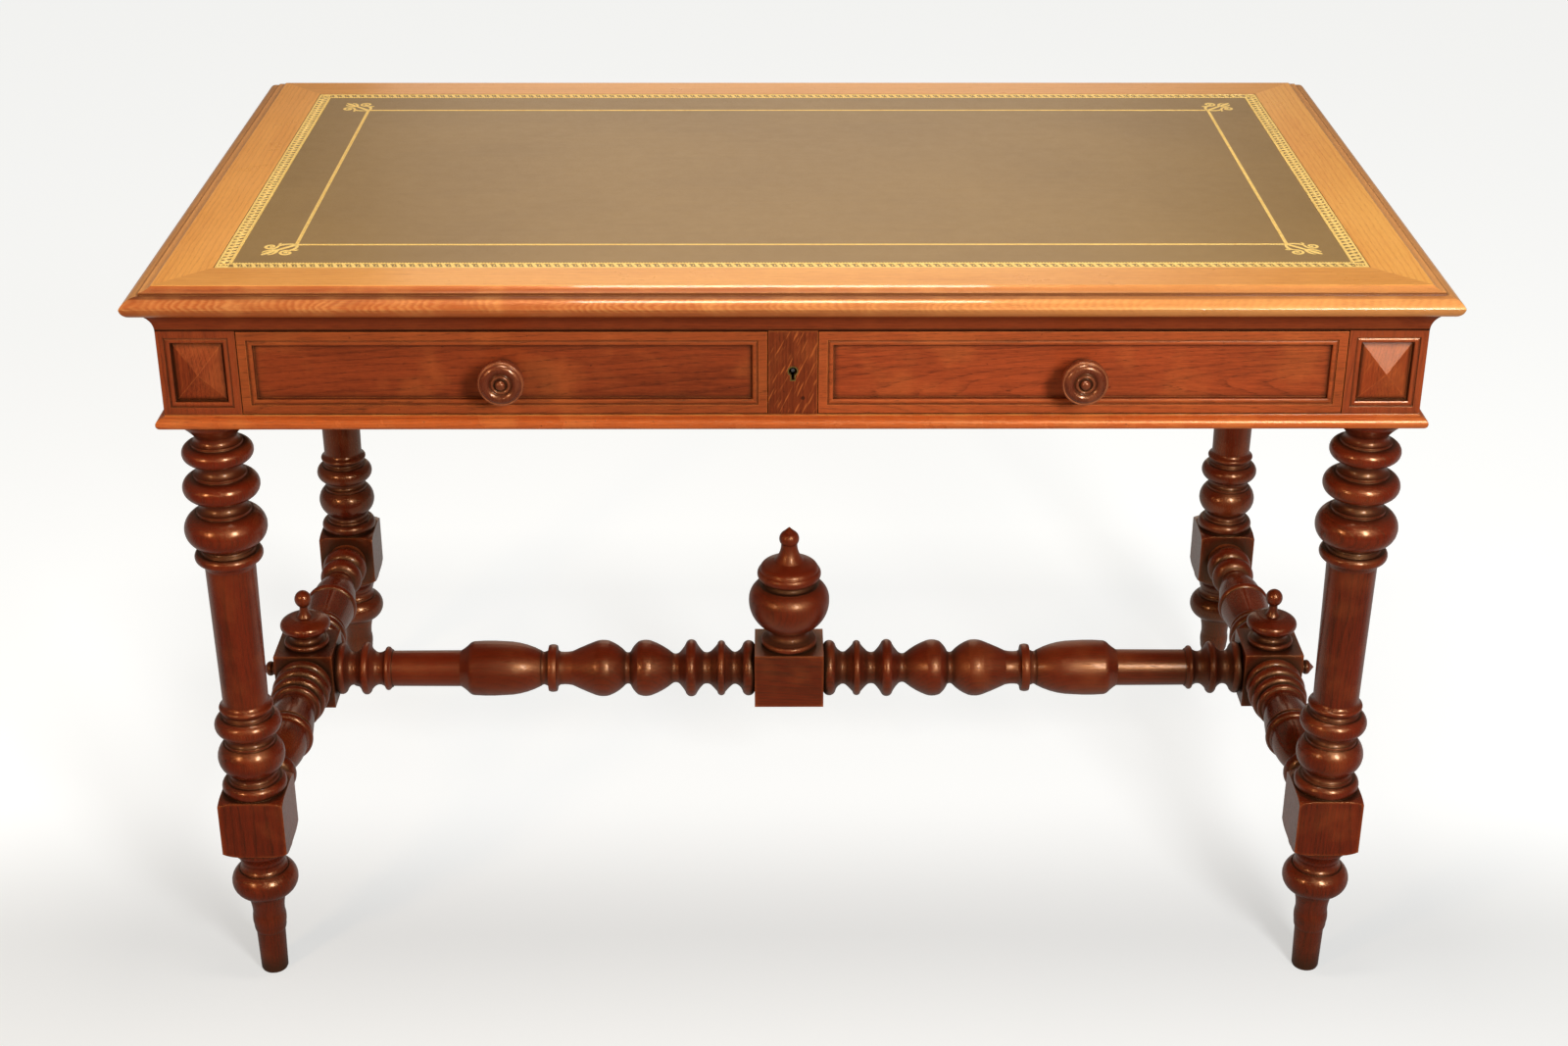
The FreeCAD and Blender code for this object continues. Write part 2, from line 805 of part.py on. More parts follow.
def centre_muntin():
    """Post between the drawers, with the lock's recess, the keyhole and the bolts' way through."""
    half = muntin_width / 2
    ys = (front_face_y, front_face_y + muntin_thickness)
    board = slab((-half, half), ys, (opening_bottom, opening_top))
    board = joined([board, muntin_tenon(opening_bottom, -1), muntin_tenon(opening_top, 1)])
    hole = keyhole(keyhole_radius, keyhole_slot_width, front_face_y - overrun, bolt_y)
    return board.cut([lock_box(), hole, bolt_slot(half + overrun, bolt_gap)])


def lock_case():
    """Hollow steel case with the keyhole in front and a slot at each end."""
    back_y = front_face_y + muntin_thickness
    half_x = lock_width / 2 - lock_wall
    half_z = lock_height / 2 - lock_wall
    inside = slab(
        (-half_x, half_x),
        (back_y - lock_depth + lock_wall, back_y - lock_wall),
        (keyhole_z - half_z, keyhole_z + half_z),
    )
    hole = keyhole(
        keyhole_radius - liner_wall,
        keyhole_slot_width - liner_wall * 2,
        front_face_y,
        back_y - lock_depth / 2,
    )
    return lock_box().cut([inside, hole, bolt_slot(lock_width / 2 + overrun, bolt_gap)])


def lock_pin():
    """Pin that the key's barrel fits over, fixed to the back of the case."""
    start = Vector(0, front_face_y + lock_pin_set_back, keyhole_z)
    length = muntin_thickness - lock_wall - lock_pin_set_back
    return rod(lock_pin_radius, length, start, Vector(0, 1, 0))


def keyhole_liner():
    """Brass lining of the keyhole, just proud of the wood."""
    end_y = front_face_y + muntin_thickness - lock_depth
    outer = keyhole(keyhole_radius, keyhole_slot_width, front_face_y - liner_proud, end_y)
    inner = keyhole(
        keyhole_radius - liner_wall,
        keyhole_slot_width - liner_wall * 2,
        front_face_y - liner_proud - overrun,
        end_y + overrun,
    )
    return outer.cut(inner)


def lock_bolt(sign_x):
    """Bolt drawn back into the muntin, with the notch that the key turns in."""
    end_x = muntin_width / 2 - bolt_set_back
    half_y = bolt_thickness / 2
    half_z = bolt_height / 2
    bar = slab(
        (sign_x * bolt_inner_end, sign_x * end_x),
        (bolt_y - half_y, bolt_y + half_y),
        (bolt_z - half_z, bolt_z + half_z),
    )
    notch_x = (bolt_inner_end + lock_width / 2) / 2
    half_notch = bolt_inner_end / 2
    notch = slab(
        (sign_x * (notch_x - half_notch), sign_x * (notch_x + half_notch)),
        (bolt_y - half_y - overrun, bolt_y + half_y + overrun),
        (bolt_z - half_z - overrun, bolt_z - half_z + bolt_inner_end),
    )
    return bar.cut(notch)


def drawer(sign_x):
    """The pieces of one drawer by name: front, two sides, back, bottom and knob."""
    near_x = muntin_width / 2 + front_gap
    far_x = post_inner_x - front_gap
    front_back_y = front_face_y + front_thickness
    end_y = back_board_y - drawer_back_room
    front_low = opening_bottom + front_gap
    front_high = opening_top - front_gap
    side_low = opening_bottom + run_gap
    side_high = front_high - side_drop
    bottom_low = side_low + bottom_rise
    bottom_high = bottom_low + bottom_thickness
    inner_faces = (near_x + side_inset + side_thickness, far_x - side_inset - side_thickness)

    def mirrored(*xs):
        return tuple(sign_x * x for x in xs)

    def tongue(middle_x, low):
        root = front_tongue_root / 2
        tip = front_tongue_tip / 2
        tip_y = front_back_y - front_tongue_length
        points = [
            Vector(sign_x * middle_x - root, front_back_y, low),
            Vector(sign_x * middle_x - tip, tip_y, low),
            Vector(sign_x * middle_x + tip, tip_y, low),
            Vector(sign_x * middle_x + root, front_back_y, low),
        ]
        return prism(points, Vector(0, 0, side_high - low))

    bottom = slab(
        mirrored(inner_faces[0] - bottom_groove, inner_faces[1] + bottom_groove),
        (front_back_y - bottom_groove, end_y),
        (bottom_low, bottom_high),
    )
    back_high = side_high - drawer_back_drop
    back = slab(
        mirrored(near_x + side_inset, far_x - side_inset),
        (end_y - drawer_back_thickness, end_y),
        (bottom_high, back_high),
    )
    tails = []
    pitch = (back_high - bottom_high) / tail_count
    for index in range(tail_count):
        middle_z = bottom_high + pitch * (index * 2 + 1) / 2
        for outer_x in (near_x + side_inset, inner_faces[1]):
            half_root = pitch * tail_root_share
            half_tip = pitch * tail_tip_share
            root_y = end_y - drawer_back_thickness
            points = [
                Vector(sign_x * outer_x, root_y, middle_z - half_root),
                Vector(sign_x * outer_x, end_y, middle_z - half_tip),
                Vector(sign_x * outer_x, end_y, middle_z + half_tip),
                Vector(sign_x * outer_x, root_y, middle_z + half_root),
            ]
            tails.append(prism(points, Vector(sign_x * side_thickness, 0, 0)))
    back = back.cut(tails)

    middle_x = (near_x + far_x) / 2
    middle_z = (front_low + front_high) / 2
    front = slab(mirrored(near_x, far_x), (front_face_y, front_back_y), (front_low, front_high))
    front = sunk_panel(
        front,
        far_x - near_x - panel_border * 2,
        front_high - front_low - panel_border * 2,
        Vector(sign_x * middle_x, front_face_y, middle_z),
        "front",
    )
    side_middles = (near_x + side_inset + side_thickness / 2, far_x - side_inset - side_thickness / 2)
    cuts = [tongue(middle, front_low - overrun) for middle in side_middles]
    cuts.append(bottom)
    knob_back = Vector(sign_x * middle_x, front_back_y + overrun, middle_z)
    knob_hole_length = front_thickness + overrun * 2
    cuts.append(rod(knob_spigot_radius + round_gap, knob_hole_length, knob_back, Vector(0, -1, 0)))
    mortise_end = near_x + bolt_throw + bolt_mortise_room
    half_y = bolt_thickness / 2 + bolt_mortise_room / 2
    half_z = bolt_height / 2 + bolt_mortise_room / 2
    cuts.append(
        slab(
            mirrored(near_x - overrun, mortise_end),
            (bolt_y - half_y, bolt_y + half_y),
            (bolt_z - half_z, bolt_z + half_z),
        )
    )
    front = front.cut(cuts)

    sides = []
    for middle in side_middles:
        half = side_thickness / 2
        board = slab(mirrored(middle - half, middle + half), (front_back_y, end_y), (side_low, side_high))
        sides.append(joined([board, tongue(middle, side_low)]).cut([bottom, back]))

    floor_y = front_face_y + panel_sink
    seat = Vector(sign_x * middle_x, floor_y, middle_z)
    knob = placed(turning(knob_shares, knob_length, knob_diameter), along_y.inverted(), seat)
    spigot = rod(knob_spigot_radius, front_thickness - panel_sink, seat, Vector(0, 1, 0))
    return {
        "front": front,
        "inner_side": sides[0],
        "outer_side": sides[1],
        "back": back,
        "bottom": bottom,
        "knob": joined([knob, spigot]),
    }


def carrier_spans():
    """Where the strips that carry the drawers lie across the table: left, centre, right."""
    half = centre_runner_width / 2
    return (
        (-post_inner_x, -post_inner_x + runner_width),
        (-half, half),
        (post_inner_x - runner_width, post_inner_x),
    )


def carrier_tongues(low, high):
    """Tongues of the carriers between two heights, let into the front rail and the back apron."""
    middle = (low + high) / 2
    zs = [middle + half * carrier_tongue_thickness / 2 for half in (-1, 1)]
    ys = (rail_back_y - carrier_tongue_length, back_board_y + carrier_tongue_length)
    inset = carrier_tongue_shoulder
    return [slab((xs[0] + inset, xs[1] - inset), ys, zs) for xs in carrier_spans()]


def carriers(low, high):
    """Strips from the front rail to the back apron that the drawer sides slide on, or under."""
    strips = []
    for xs, tongue in zip(carrier_spans(), carrier_tongues(low, high)):
        strips.append(joined([slab(xs, (rail_back_y, back_board_y), (low, high)), tongue]))
    return strips


def drawer_guides():
    """Strips on the runners that keep the drawers straight."""
    width = front_gap + side_inset - guide_gap
    strips = []
    for sign_x in (-1, 1):
        for xs in ((muntin_width / 2, muntin_width / 2 + width), (post_inner_x - width, post_inner_x)):
            strips.append(
                slab(
                    [sign_x * x for x in xs],
                    (rail_back_y, back_board_y),
                    (opening_bottom, opening_bottom + guide_height),
                )
            )
    return Part.makeCompound(strips)


def drawer_stops():
    """Blocks on the front rail that the drawer fronts close against."""
    start_y = front_face_y + front_thickness + run_gap
    blocks = []
    for sign_x in (-1, 1):
        for share in (stop_place_share, 1 - stop_place_share):
            middle = muntin_width / 2 + (post_inner_x - muntin_width / 2) * share
            xs = [sign_x * (middle + half * stop_length / 2) for half in (-1, 1)]
            ys = (start_y, start_y + stop_depth)
            blocks.append(slab(xs, ys, (opening_bottom, opening_bottom + stop_height)))
    return Part.makeCompound(blocks)


def glue_blocks():
    """Three-cornered blocks glued in the angle between the aprons and the top."""
    leg_length = glue_block_leg
    half = glue_block_length / 2

    def block(inner_face, along):
        points = [
            Vector(along - half, -inner_face, frieze_top),
            Vector(along - half, -inner_face + leg_length, frieze_top),
            Vector(along - half, -inner_face, frieze_top - leg_length),
        ]
        return prism(points, Vector(glue_block_length, 0, 0))

    blocks = []
    for sign in (-1, 1):
        for side in ("left", "right"):
            along = sign * post_inner_y * glue_block_place_share
            blocks.append(turned_to(block(frieze_half_width - apron_thickness, along), side))
        along = sign * post_inner_x * glue_block_place_share
        blocks.append(turned_to(block(back_board_y, along), "back"))
    return Part.makeCompound(blocks)


def side_stretcher(sign_x):
    """Stretcher between a front and a back leg, with a square block at its middle."""
    half = stretcher_block_width / 2
    length = leg_y - leg_block_width / 2 - half
    half_turning = turning(side_stretcher_shares, length, stretcher_stock)
    tenon = rod(stretcher_tenon_radius, stretcher_tenon_length, Vector(0, 0, length), up)
    arm = joined([half_turning, tenon])
    block = slab((-half, half), (-half, half), (-half, half))
    back_arm = placed(arm, along_y, Vector(0, half, 0))
    front_arm = placed(arm, along_y.inverted(), Vector(0, -half, 0))
    piece = joined([block, back_arm, front_arm])
    depth = stretcher_tenon_length + tenon_room
    bores = [
        rod(stretcher_tenon_radius + round_gap, depth, Vector(-sign_x * half, 0, 0), Vector(sign_x, 0, 0)),
        rod(finial_peg_radius + round_gap, finial_peg_length + tenon_room, Vector(0, 0, half), -up),
        rod(
            button_peg_radius + round_gap,
            button_peg_length + tenon_room,
            Vector(sign_x * half, 0, 0),
            Vector(-sign_x, 0, 0),
        ),
    ]
    return placed(piece.cut(bores), upright, Vector(sign_x * leg_x, 0, stretcher_z))


def centre_stretcher():
    """Stretcher between the blocks of the side stretchers, with a block at its middle."""
    half = stretcher_block_width / 2
    half_block = centre_block_length / 2
    length = leg_x - half - half_block
    tenon = rod(stretcher_tenon_radius, stretcher_tenon_length, Vector(0, 0, length), up)
    arm = joined([turning(centre_stretcher_shares, length, stretcher_stock), tenon])
    block = slab((-half_block, half_block), (-half, half), (-half, half))
    right_arm = placed(arm, along_x, Vector(half_block, 0, 0))
    left_arm = placed(arm, along_x.inverted(), Vector(-half_block, 0, 0))
    bore = rod(finial_peg_radius + round_gap, finial_peg_length + tenon_room, Vector(0, 0, half), -up)
    piece = joined([block, right_arm, left_arm]).cut(bore)
    return placed(piece, upright, Vector(0, 0, stretcher_z))


def finial(shares, height, stock, x):
    """Turned finial with its peg, standing on a stretcher block."""
    peg = rod(finial_peg_radius, finial_peg_length, Vector(0, 0, 0), -up)
    seat = Vector(x, 0, stretcher_z + stretcher_block_width / 2)
    return placed(joined([turning(shares, height, stock), peg]), upright, seat)


def outer_button(sign_x):
    """Pointed button pegged to the outer face of a side stretcher's block."""
    peg = rod(button_peg_radius, button_peg_length, Vector(0, 0, 0), -up)
    piece = joined([turning(button_shares, button_height, button_stock), peg])
    rotation = along_x if sign_x > 0 else along_x.inverted()
    seat = Vector(sign_x * (leg_x + stretcher_block_width / 2), 0, stretcher_z)
    return placed(piece, rotation, seat)


def top_panel():
    """Panel inside the top's frame, tongued all round, under the leather."""
    half_x = table_width / 2 - top_rail_width
    half_y = table_depth / 2 - top_rail_width
    high = table_height - leather_sink - leather_thickness
    low = high - panel_thickness
    body = slab((-half_x, half_x), (-half_y, half_y), (low, high))
    tongue_x = half_x + panel_tongue_length
    tongue_y = half_y + panel_tongue_length
    tongue_high = table_height - panel_tongue_drop
    tongue = slab(
        (-tongue_x, tongue_x), (-tongue_y, tongue_y), (tongue_high - panel_tongue_thickness, tongue_high)
    )
    return joined([body, tongue])


def top_leather():
    """Leather let in flush between the rails of the frame."""
    half_x = table_width / 2 - top_rail_width
    half_y = table_depth / 2 - top_rail_width
    high = table_height - leather_sink
    return slab((-half_x, half_x), (-half_y, half_y), (high - leather_thickness, high))


def corner_bosses():
    """Pyramids on the outer faces of the posts."""
    width, height = post_panel_size()
    bosses = []
    for sign_x in (-1, 1):
        for sign_y in (-1, 1):
            for side, centre in post_panel_centres(sign_x, sign_y).items():
                bosses.append(boss(width, height, centre, side))
    return Part.makeCompound(bosses)


def build():
    """Every piece of the table by its name."""
    pieces = {"top_panel": top_panel(), "top_leather": top_leather()}
    for side, strip in round_the_table(top_rail, table_width / 2, table_depth / 2).items():
        pieces["top_frame_" + side] = strip
    for side, strip in round_the_table(cove_strip, frieze_half_width, frieze_half_depth).items():
        pieces["cove_" + side] = strip
    for side, strip in round_the_table(base_strip, frieze_half_width, frieze_half_depth).items():
        pieces["base_moulding_" + side] = strip
    turnings = leg_turnings()
    for depth_name, sign_y in (("front", -1), ("back", 1)):
        for width_name, sign_x in (("left", -1), ("right", 1)):
            pieces["leg_" + depth_name + "_" + width_name] = leg(turnings, sign_x, sign_y)
    pieces["corner_bosses"] = corner_bosses()
    pieces["front_top_rail"] = front_top_rail()
    pieces["front_bottom_rail"] = front_bottom_rail()
    pieces["centre_muntin"] = centre_muntin()
    pieces["back_apron"] = back_apron()
    runners = carriers(frieze_bottom, opening_bottom)
    for name, strip in zip(("left", "centre", "right"), runners):
        pieces[name + "_runner"] = strip
    pieces["drawer_guides"] = drawer_guides()
    pieces["kickers"] = Part.makeCompound(carriers(opening_top, frieze_top))
    pieces["drawer_stops"] = drawer_stops()
    pieces["glue_blocks"] = glue_blocks()
    pieces["lock_case"] = lock_case()
    pieces["lock_pin"] = lock_pin()
    pieces["keyhole_liner"] = keyhole_liner()
    pieces["centre_stretcher"] = centre_stretcher()
    pieces["centre_finial"] = finial(centre_finial_shares, centre_finial_height, centre_finial_stock, 0)
    for name, sign_x in (("left", -1), ("right", 1)):
        pieces[name + "_apron"] = side_apron(sign_x)
        pieces[name + "_lock_bolt"] = lock_bolt(sign_x)
        pieces[name + "_side_stretcher"] = side_stretcher(sign_x)
        pieces[name + "_finial"] = finial(
            side_finial_shares, side_finial_height, side_finial_stock, sign_x * leg_x
        )
        pieces[name + "_button"] = outer_button(sign_x)
        for piece, shape in drawer(sign_x).items():
            pieces[name + "_drawer_" + piece] = shape
    return pieces


os.makedirs("parts", exist_ok=True)
for node, shape in build().items():
    shape.exportStep("parts/" + node + ".step")
    state = "valid" if shape.isValid() else "not valid"
    print(node, len(shape.Solids), "solids", round(shape.Volume), "cubic mm", state)
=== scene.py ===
# %% [markdown]
# # A library table in oak
# The table is built in CAD as separate boards, turnings and mouldings. This lesson dresses those solids:
# it gives each board its own oak, lays the leather with its gilt tooling, and lights the table as in a
# photographer's studio. The CAD solids are loaded as a fixed frame and are never moved.

# %% Load the frame
import math

import bpy
from mathutils import Matrix, Vector


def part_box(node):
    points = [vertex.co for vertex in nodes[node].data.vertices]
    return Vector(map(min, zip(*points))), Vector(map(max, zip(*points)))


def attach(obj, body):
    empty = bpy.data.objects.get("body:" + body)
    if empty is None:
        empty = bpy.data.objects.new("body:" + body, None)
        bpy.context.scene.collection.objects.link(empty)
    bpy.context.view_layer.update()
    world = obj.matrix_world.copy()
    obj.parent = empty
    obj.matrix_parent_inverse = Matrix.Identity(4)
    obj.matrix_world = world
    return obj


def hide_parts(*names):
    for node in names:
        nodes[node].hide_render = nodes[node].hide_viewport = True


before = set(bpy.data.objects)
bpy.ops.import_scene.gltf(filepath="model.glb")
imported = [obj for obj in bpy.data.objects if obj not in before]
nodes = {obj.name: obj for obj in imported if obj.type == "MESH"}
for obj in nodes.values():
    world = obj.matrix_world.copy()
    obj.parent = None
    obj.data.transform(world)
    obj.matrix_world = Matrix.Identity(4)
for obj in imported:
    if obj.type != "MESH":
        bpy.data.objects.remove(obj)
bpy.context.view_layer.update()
scene = bpy.context.scene

# %% [markdown]
# ## The camera
# The photograph was taken from a little above the front of the table with a short telephoto lens. Its
# place was worked out from the corners of the top and the feet. A camera could be aimed with a Track To
# constraint, but three plain turns, pitch, yaw and a hair of roll, say more clearly where it looks.

# %% Camera
photo_width = 1600.0
focal_pixels = 2430.0
camera_place = Vector((-0.020, -2.288, 1.473))
camera_pitch = math.radians(25.93)
camera_yaw = math.radians(0.36)
camera_roll = math.radians(0.09)
lens = bpy.data.cameras.new("camera")
lens.sensor_width = 36.0
lens.lens = focal_pixels * lens.sensor_width / photo_width
camera = bpy.data.objects.new("camera", lens)
scene.collection.objects.link(camera)
camera_turn = (
    Matrix.Rotation(-camera_yaw, 4, "Z")
    @ Matrix.Rotation(math.pi / 2 - camera_pitch, 4, "X")
    @ Matrix.Rotation(camera_roll, 4, "Z")
)
camera.matrix_world = Matrix.Translation(camera_place) @ camera_turn
scene.camera = camera
print("lens", round(lens.lens, 2), "mm")

# %% [markdown]
# ## Shader sums in plain Python
# A finish is a small program of nodes. Wiring Math nodes one by one hides the sum that they make, so a
# class wraps a socket and lets Python's own signs add the nodes. Every other kind of node comes from one
# method that takes its type, its settings and what goes into its sockets.


# %% Sockets that can be added and multiplied
class Value:
    """A shader socket; sums of values add Math nodes to its tree."""

    def __init__(self, finish, socket):
        self.finish = finish
        self.socket = socket

    def sum(self, operation, first, second=0.0):
        return self.finish.node("Math", {"operation": operation}, {"Value": first, "Value_001": second})

    def __add__(self, other):
        return self.sum("ADD", self, other)

    def __radd__(self, other):
        return self.sum("ADD", other, self)

    def __sub__(self, other):
        return self.sum("SUBTRACT", self, other)

    def __rsub__(self, other):
        return self.sum("SUBTRACT", other, self)

    def __mul__(self, other):
        return self.sum("MULTIPLY", self, other)

    def __rmul__(self, other):
        return self.sum("MULTIPLY", other, self)

    def __truediv__(self, other):
        return self.sum("DIVIDE", self, other)

    def __abs__(self):
        return self.sum("ABSOLUTE", self)

    def root(self):
        return self.sum("SQRT", self)

    def part(self):
        """What is left above the whole number."""
        return self.sum("FRACT", self)

    def step(self, low, high):
        """0 at low, 1 at high, with soft ends."""
        return self.finish.node(
            "MapRange",
            {"interpolation_type": "SMOOTHSTEP"},
            {"Value": self, "From Min": low, "From Max": high},
        )

    def other(self, name):
        """Another output of the same node."""
        return Value(self.finish, self.socket.node.outputs[name])


print("sockets can be added, multiplied and stepped")


# %% Finishes
def pick(sockets, name):
    """One of a node's sockets, by its identifier or else by the name that it shows."""
    named = [s for s in sockets if s.identifier == name] or [s for s in sockets if s.name == name]
    return named[0]


class Finish:
    """The nodes of a material or a world, added by name."""

    def __init__(self, owner, shader="Principled BSDF"):
        owner.use_nodes = True
        self.owner = owner
        self.tree = owner.node_tree
        self.shader = self.tree.nodes[shader]

    def put(self, socket, value):
        """Links a value to a socket, or sets a number or a colour on it."""
        if isinstance(value, Value):
            self.tree.links.new(value.socket, socket)
        elif socket.type == "RGBA":
            socket.default_value = (*value, 1.0)
        else:
            socket.default_value = value

    def node(self, kind, settings, sockets, out=0):
        """A new node of any kind; gives the output that is asked for."""
        node = self.tree.nodes.new("ShaderNode" + kind)
        for name, setting in settings.items():
            setattr(node, name, setting)
        for name, value in sockets.items():
            self.put(pick(node.inputs, name), value)
        return Value(self, pick(node.outputs, out) if isinstance(out, str) else node.outputs[out])

    def shade(self, **sockets):
        """Values for the shader itself; a low line in a name stands for a space."""
        for name, value in sockets.items():
            self.put(self.shader.inputs[name.replace("_", " ")], value)

    def mix(self, share, first, second):
        """The first colour, with a share of the second."""
        colours = {"Factor_Float": share, "A_Color": first, "B_Color": second}
        return self.node("Mix", {"data_type": "RGBA"}, colours, "Result_Color")

    def vector(self, x, y, z):
        return self.node("CombineXYZ", {}, {"X": x, "Y": y, "Z": z})

    def place(self):
        """Where a point is on the table, in metres."""
        return self.node("TexCoord", {}, {}, "Object")

    def noise(self, place, scale=1.0, detail=2.0, roughness=0.5):
        sockets = {"Vector": place, "Scale": scale, "Detail": detail, "Roughness": roughness}
        return self.node("TexNoise", {}, sockets, "Fac")

    def hollow(self, reach, **settings):
        """How closed in a point is by what lies within reach: 0 in the open, 1 in a tight corner."""
        settings = {"samples": 6, **settings}
        return 1.0 - self.node("AmbientOcclusion", settings, {"Distance": reach}, "AO")

    def bump(self, height, strength, depth, **normal):
        sockets = {"Strength": strength, "Distance": depth, "Height": height, **normal}
        return self.node("Bump", {}, sockets)


def new_finish(name):
    return Finish(bpy.data.materials.new(name))


def paint(red, green, blue):
    """A colour as a painter reads it off a screen, 0 to 255, as the light that Blender reckons with."""
    screen = [c / 255 for c in (red, green, blue)]
    return tuple(c / 12.92 if c <= 0.04045 else ((c + 0.055) / 1.055) ** 2.4 for c in screen)


print("a red brown of oak is", [round(c, 3) for c in paint(140, 60, 30)])

# %% [markdown]
# ## Oak
# Oak shows three things: growth rings, with a line of open pores at the start of each year; short dark
# pores along the grain; and, where it is sawn along the radius, pale ray flecks. A flat streaky picture
# could be laid on each face, but then the grain would not run round a turned ring. So the oak is solid:
# rings round a pith that lies beside the board, read at each point of the wood. Old polish gathers dark
# in the corners, and shade is painted there as well; the edges are painted pale, as worn and as a
# highlight. The occlusion and bevel nodes find both on the shape itself.

# %% Tones of oak
# light and dark are the wood between the rings and in them. dirt_and_shade is the old wax in pores and
# hollows, and also the painted shade in hollows. worn_and_lit is worn wood, and also painted light on
# edges, crests and the top's moulded edge. side_light and side_dark are the wood of the top's moulded
# edge.
# rings, drift, specks and pores say how strongly these marks show.
# hollow says how closed in a corner is where the wax and the painted shade start and where they are
# thick, reach how far away the walls of that corner may be, and edge how wide an edge is worn and painted
# pale, both in metres.
# coat and sheen are the weight and the roughness of the polish, rough and gloss the roughness of the wood
# below it and how strongly it mirrors.
oak_tones = {
    "top": {
        "light": paint(240, 170, 82), "dark": paint(206, 132, 55),
        "dirt_and_shade": paint(84, 36, 14), "worn_and_lit": paint(246, 176, 100),
        "side_light": paint(186, 98, 47), "side_dark": paint(150, 74, 34),
        "rings": 0.28, "drift": 0.8, "specks": 0, "pores": 0.20,
        "hollow": (0.02, 0.20), "reach": 0.004, "edge": 0.0008,
        "coat": 0.45, "sheen": 0.06, "rough": 0.30, "gloss": 0.80,
    },
    "frieze": {
        "light": paint(168, 70, 33), "dark": paint(96, 35, 18),
        "dirt_and_shade": paint(40, 14, 7), "worn_and_lit": paint(218, 116, 54),
        "rings": 0.16, "drift": 0.9, "specks": 0.8, "pores": 0.60,
        "hollow": (0.06, 0.38), "reach": 0.006, "edge": 0.0013,
        "coat": 0.06, "sheen": 0.14, "rough": 0.38, "gloss": 0.45,
    },
    "cove": {
        "light": paint(144, 60, 28), "dark": paint(98, 38, 17),
        "dirt_and_shade": paint(38, 14, 7), "worn_and_lit": paint(160, 76, 36),
        "rings": 0.20, "drift": 0.8, "specks": 0.6, "pores": 0.40,
        "hollow": (0.20, 0.90), "reach": 0.008, "edge": 0.0010,
        "coat": 0.04, "sheen": 0.14, "rough": 0.42, "gloss": 0.30,
    },
    "moulding": {
        "light": paint(222, 108, 47), "dark": paint(166, 70, 30),
        "dirt_and_shade": paint(48, 18, 9), "worn_and_lit": paint(246, 156, 78),
        "rings": 0.20, "drift": 0.8, "specks": 0.8, "pores": 0.40,
        "hollow": (0.18, 0.80), "reach": 0.009, "edge": 0.0013,
        "coat": 0.15, "sheen": 0.12, "rough": 0.27, "gloss": 1.00,
    },
    "turned": {
        "light": paint(120, 33, 12), "dark": paint(62, 16, 6),
        "dirt_and_shade": paint(13, 5, 3), "worn_and_lit": paint(168, 82, 38),
        "rings": 0.20, "drift": 1.2, "specks": 0.5, "pores": 0.40,
        "hollow": (0.06, 0.42), "reach": 0.030, "edge": 0.0012,
        "coat": 0.22, "sheen": 0.09, "rough": 0.22, "gloss": 1.00,
    },
    "knob": {
        "light": paint(112, 45, 26), "dark": paint(74, 29, 16),
        "dirt_and_shade": paint(20, 8, 5), "worn_and_lit": paint(200, 120, 74),
        "rings": 0.15, "drift": 0.6, "specks": 0, "pores": 0.20,
        "hollow": (0.14, 0.60), "reach": 0.008, "edge": 0.0008,
        "coat": 0.35, "sheen": 0.10, "rough": 0.26, "gloss": 0.95,
    },
    "plain": {
        "light": paint(198, 158, 106), "dark": paint(162, 120, 72),
        "dirt_and_shade": paint(96, 66, 38), "worn_and_lit": paint(212, 176, 126),
        "rings": 0.26, "drift": 0.7, "specks": 0.4, "pores": 0.50,
        "hollow": (0.20, 0.90), "reach": 0.009, "edge": 0.0008,
        "coat": 0.0, "sheen": 0.2, "rough": 0.60, "gloss": 0.20,
    },
}
oak_tones["stretcher"] = {**oak_tones["turned"], "coat": 0.08, "rough": 0.33}
turned_tones = ("turned", "stretcher", "knob")
print(len(oak_tones), "tones of oak")

# %% A board and its grain
# The axis of the grain, then the two axes across it.
grain_axes = {"X": "XYZ", "Y": "YXZ", "Z": "ZXY"}
# Marks drawn out along the grain: length and width in metres, then how fine and how rough their noise is.
grain_marks = {
    "wander": (0.40, 0.09, 2.0, 0.5),
    "ripple": (0.060, 0.012, 3.0, 0.5),
    "fibre": (0.016, 0.0010, 3.0, 0.6),
    "streak": (0.12, 0.0040, 3.0, 0.5),
    "drift": (0.30, 0.07, 2.0, 0.5),
    "pore": (0.0070, 0.00036, 1.0, 0.5),
    "beat": (0.045, 0.02, 2.0, 0.5),
}


class Board:
    """The oak of one board, whose colour is built up mark by mark."""

    def __init__(self, name, tone, grain, seed):
        self.finish = new_finish(name)
        self.tone = oak_tones[tone]
        self.seed = seed
        self.place = self.finish.place()
        self.axes = self.finish.node("SeparateXYZ", {}, {"Vector": self.place})
        self.along, self.first, self.second = [self.axes.other(axis) for axis in grain_axes[grain]]

    def marks(self, kind):
        """Noise that is drawn out along the grain and differs from board to board."""
        length, width, detail, roughness = grain_marks[kind]
        drawn_out = self.finish.vector(
            self.along / length + self.seed * 7.3,
            self.first / width + self.seed * 3.1,
            self.second / width - self.seed * 5.7,
        )
        return self.finish.noise(drawn_out, detail=detail, roughness=roughness)

    def clouds(self, scale, detail):
        """Noise with no direction."""
        return self.finish.noise(self.place, scale=scale, detail=detail)

    def tint(self, share, colour):
        """Lays a share of another colour over the board."""
        self.colour = self.finish.mix(share, self.colour, colour)


print(len(grain_marks), "kinds of marks along the grain")

# %% Growth rings
ring_width = 0.0028


def shaded(colour, depth):
    """A colour from a paler or a deeper log, and on some boards painted darker or paler for the light
    that falls on them.
    """
    return tuple(min(1.0, c * depth) for c in colour)


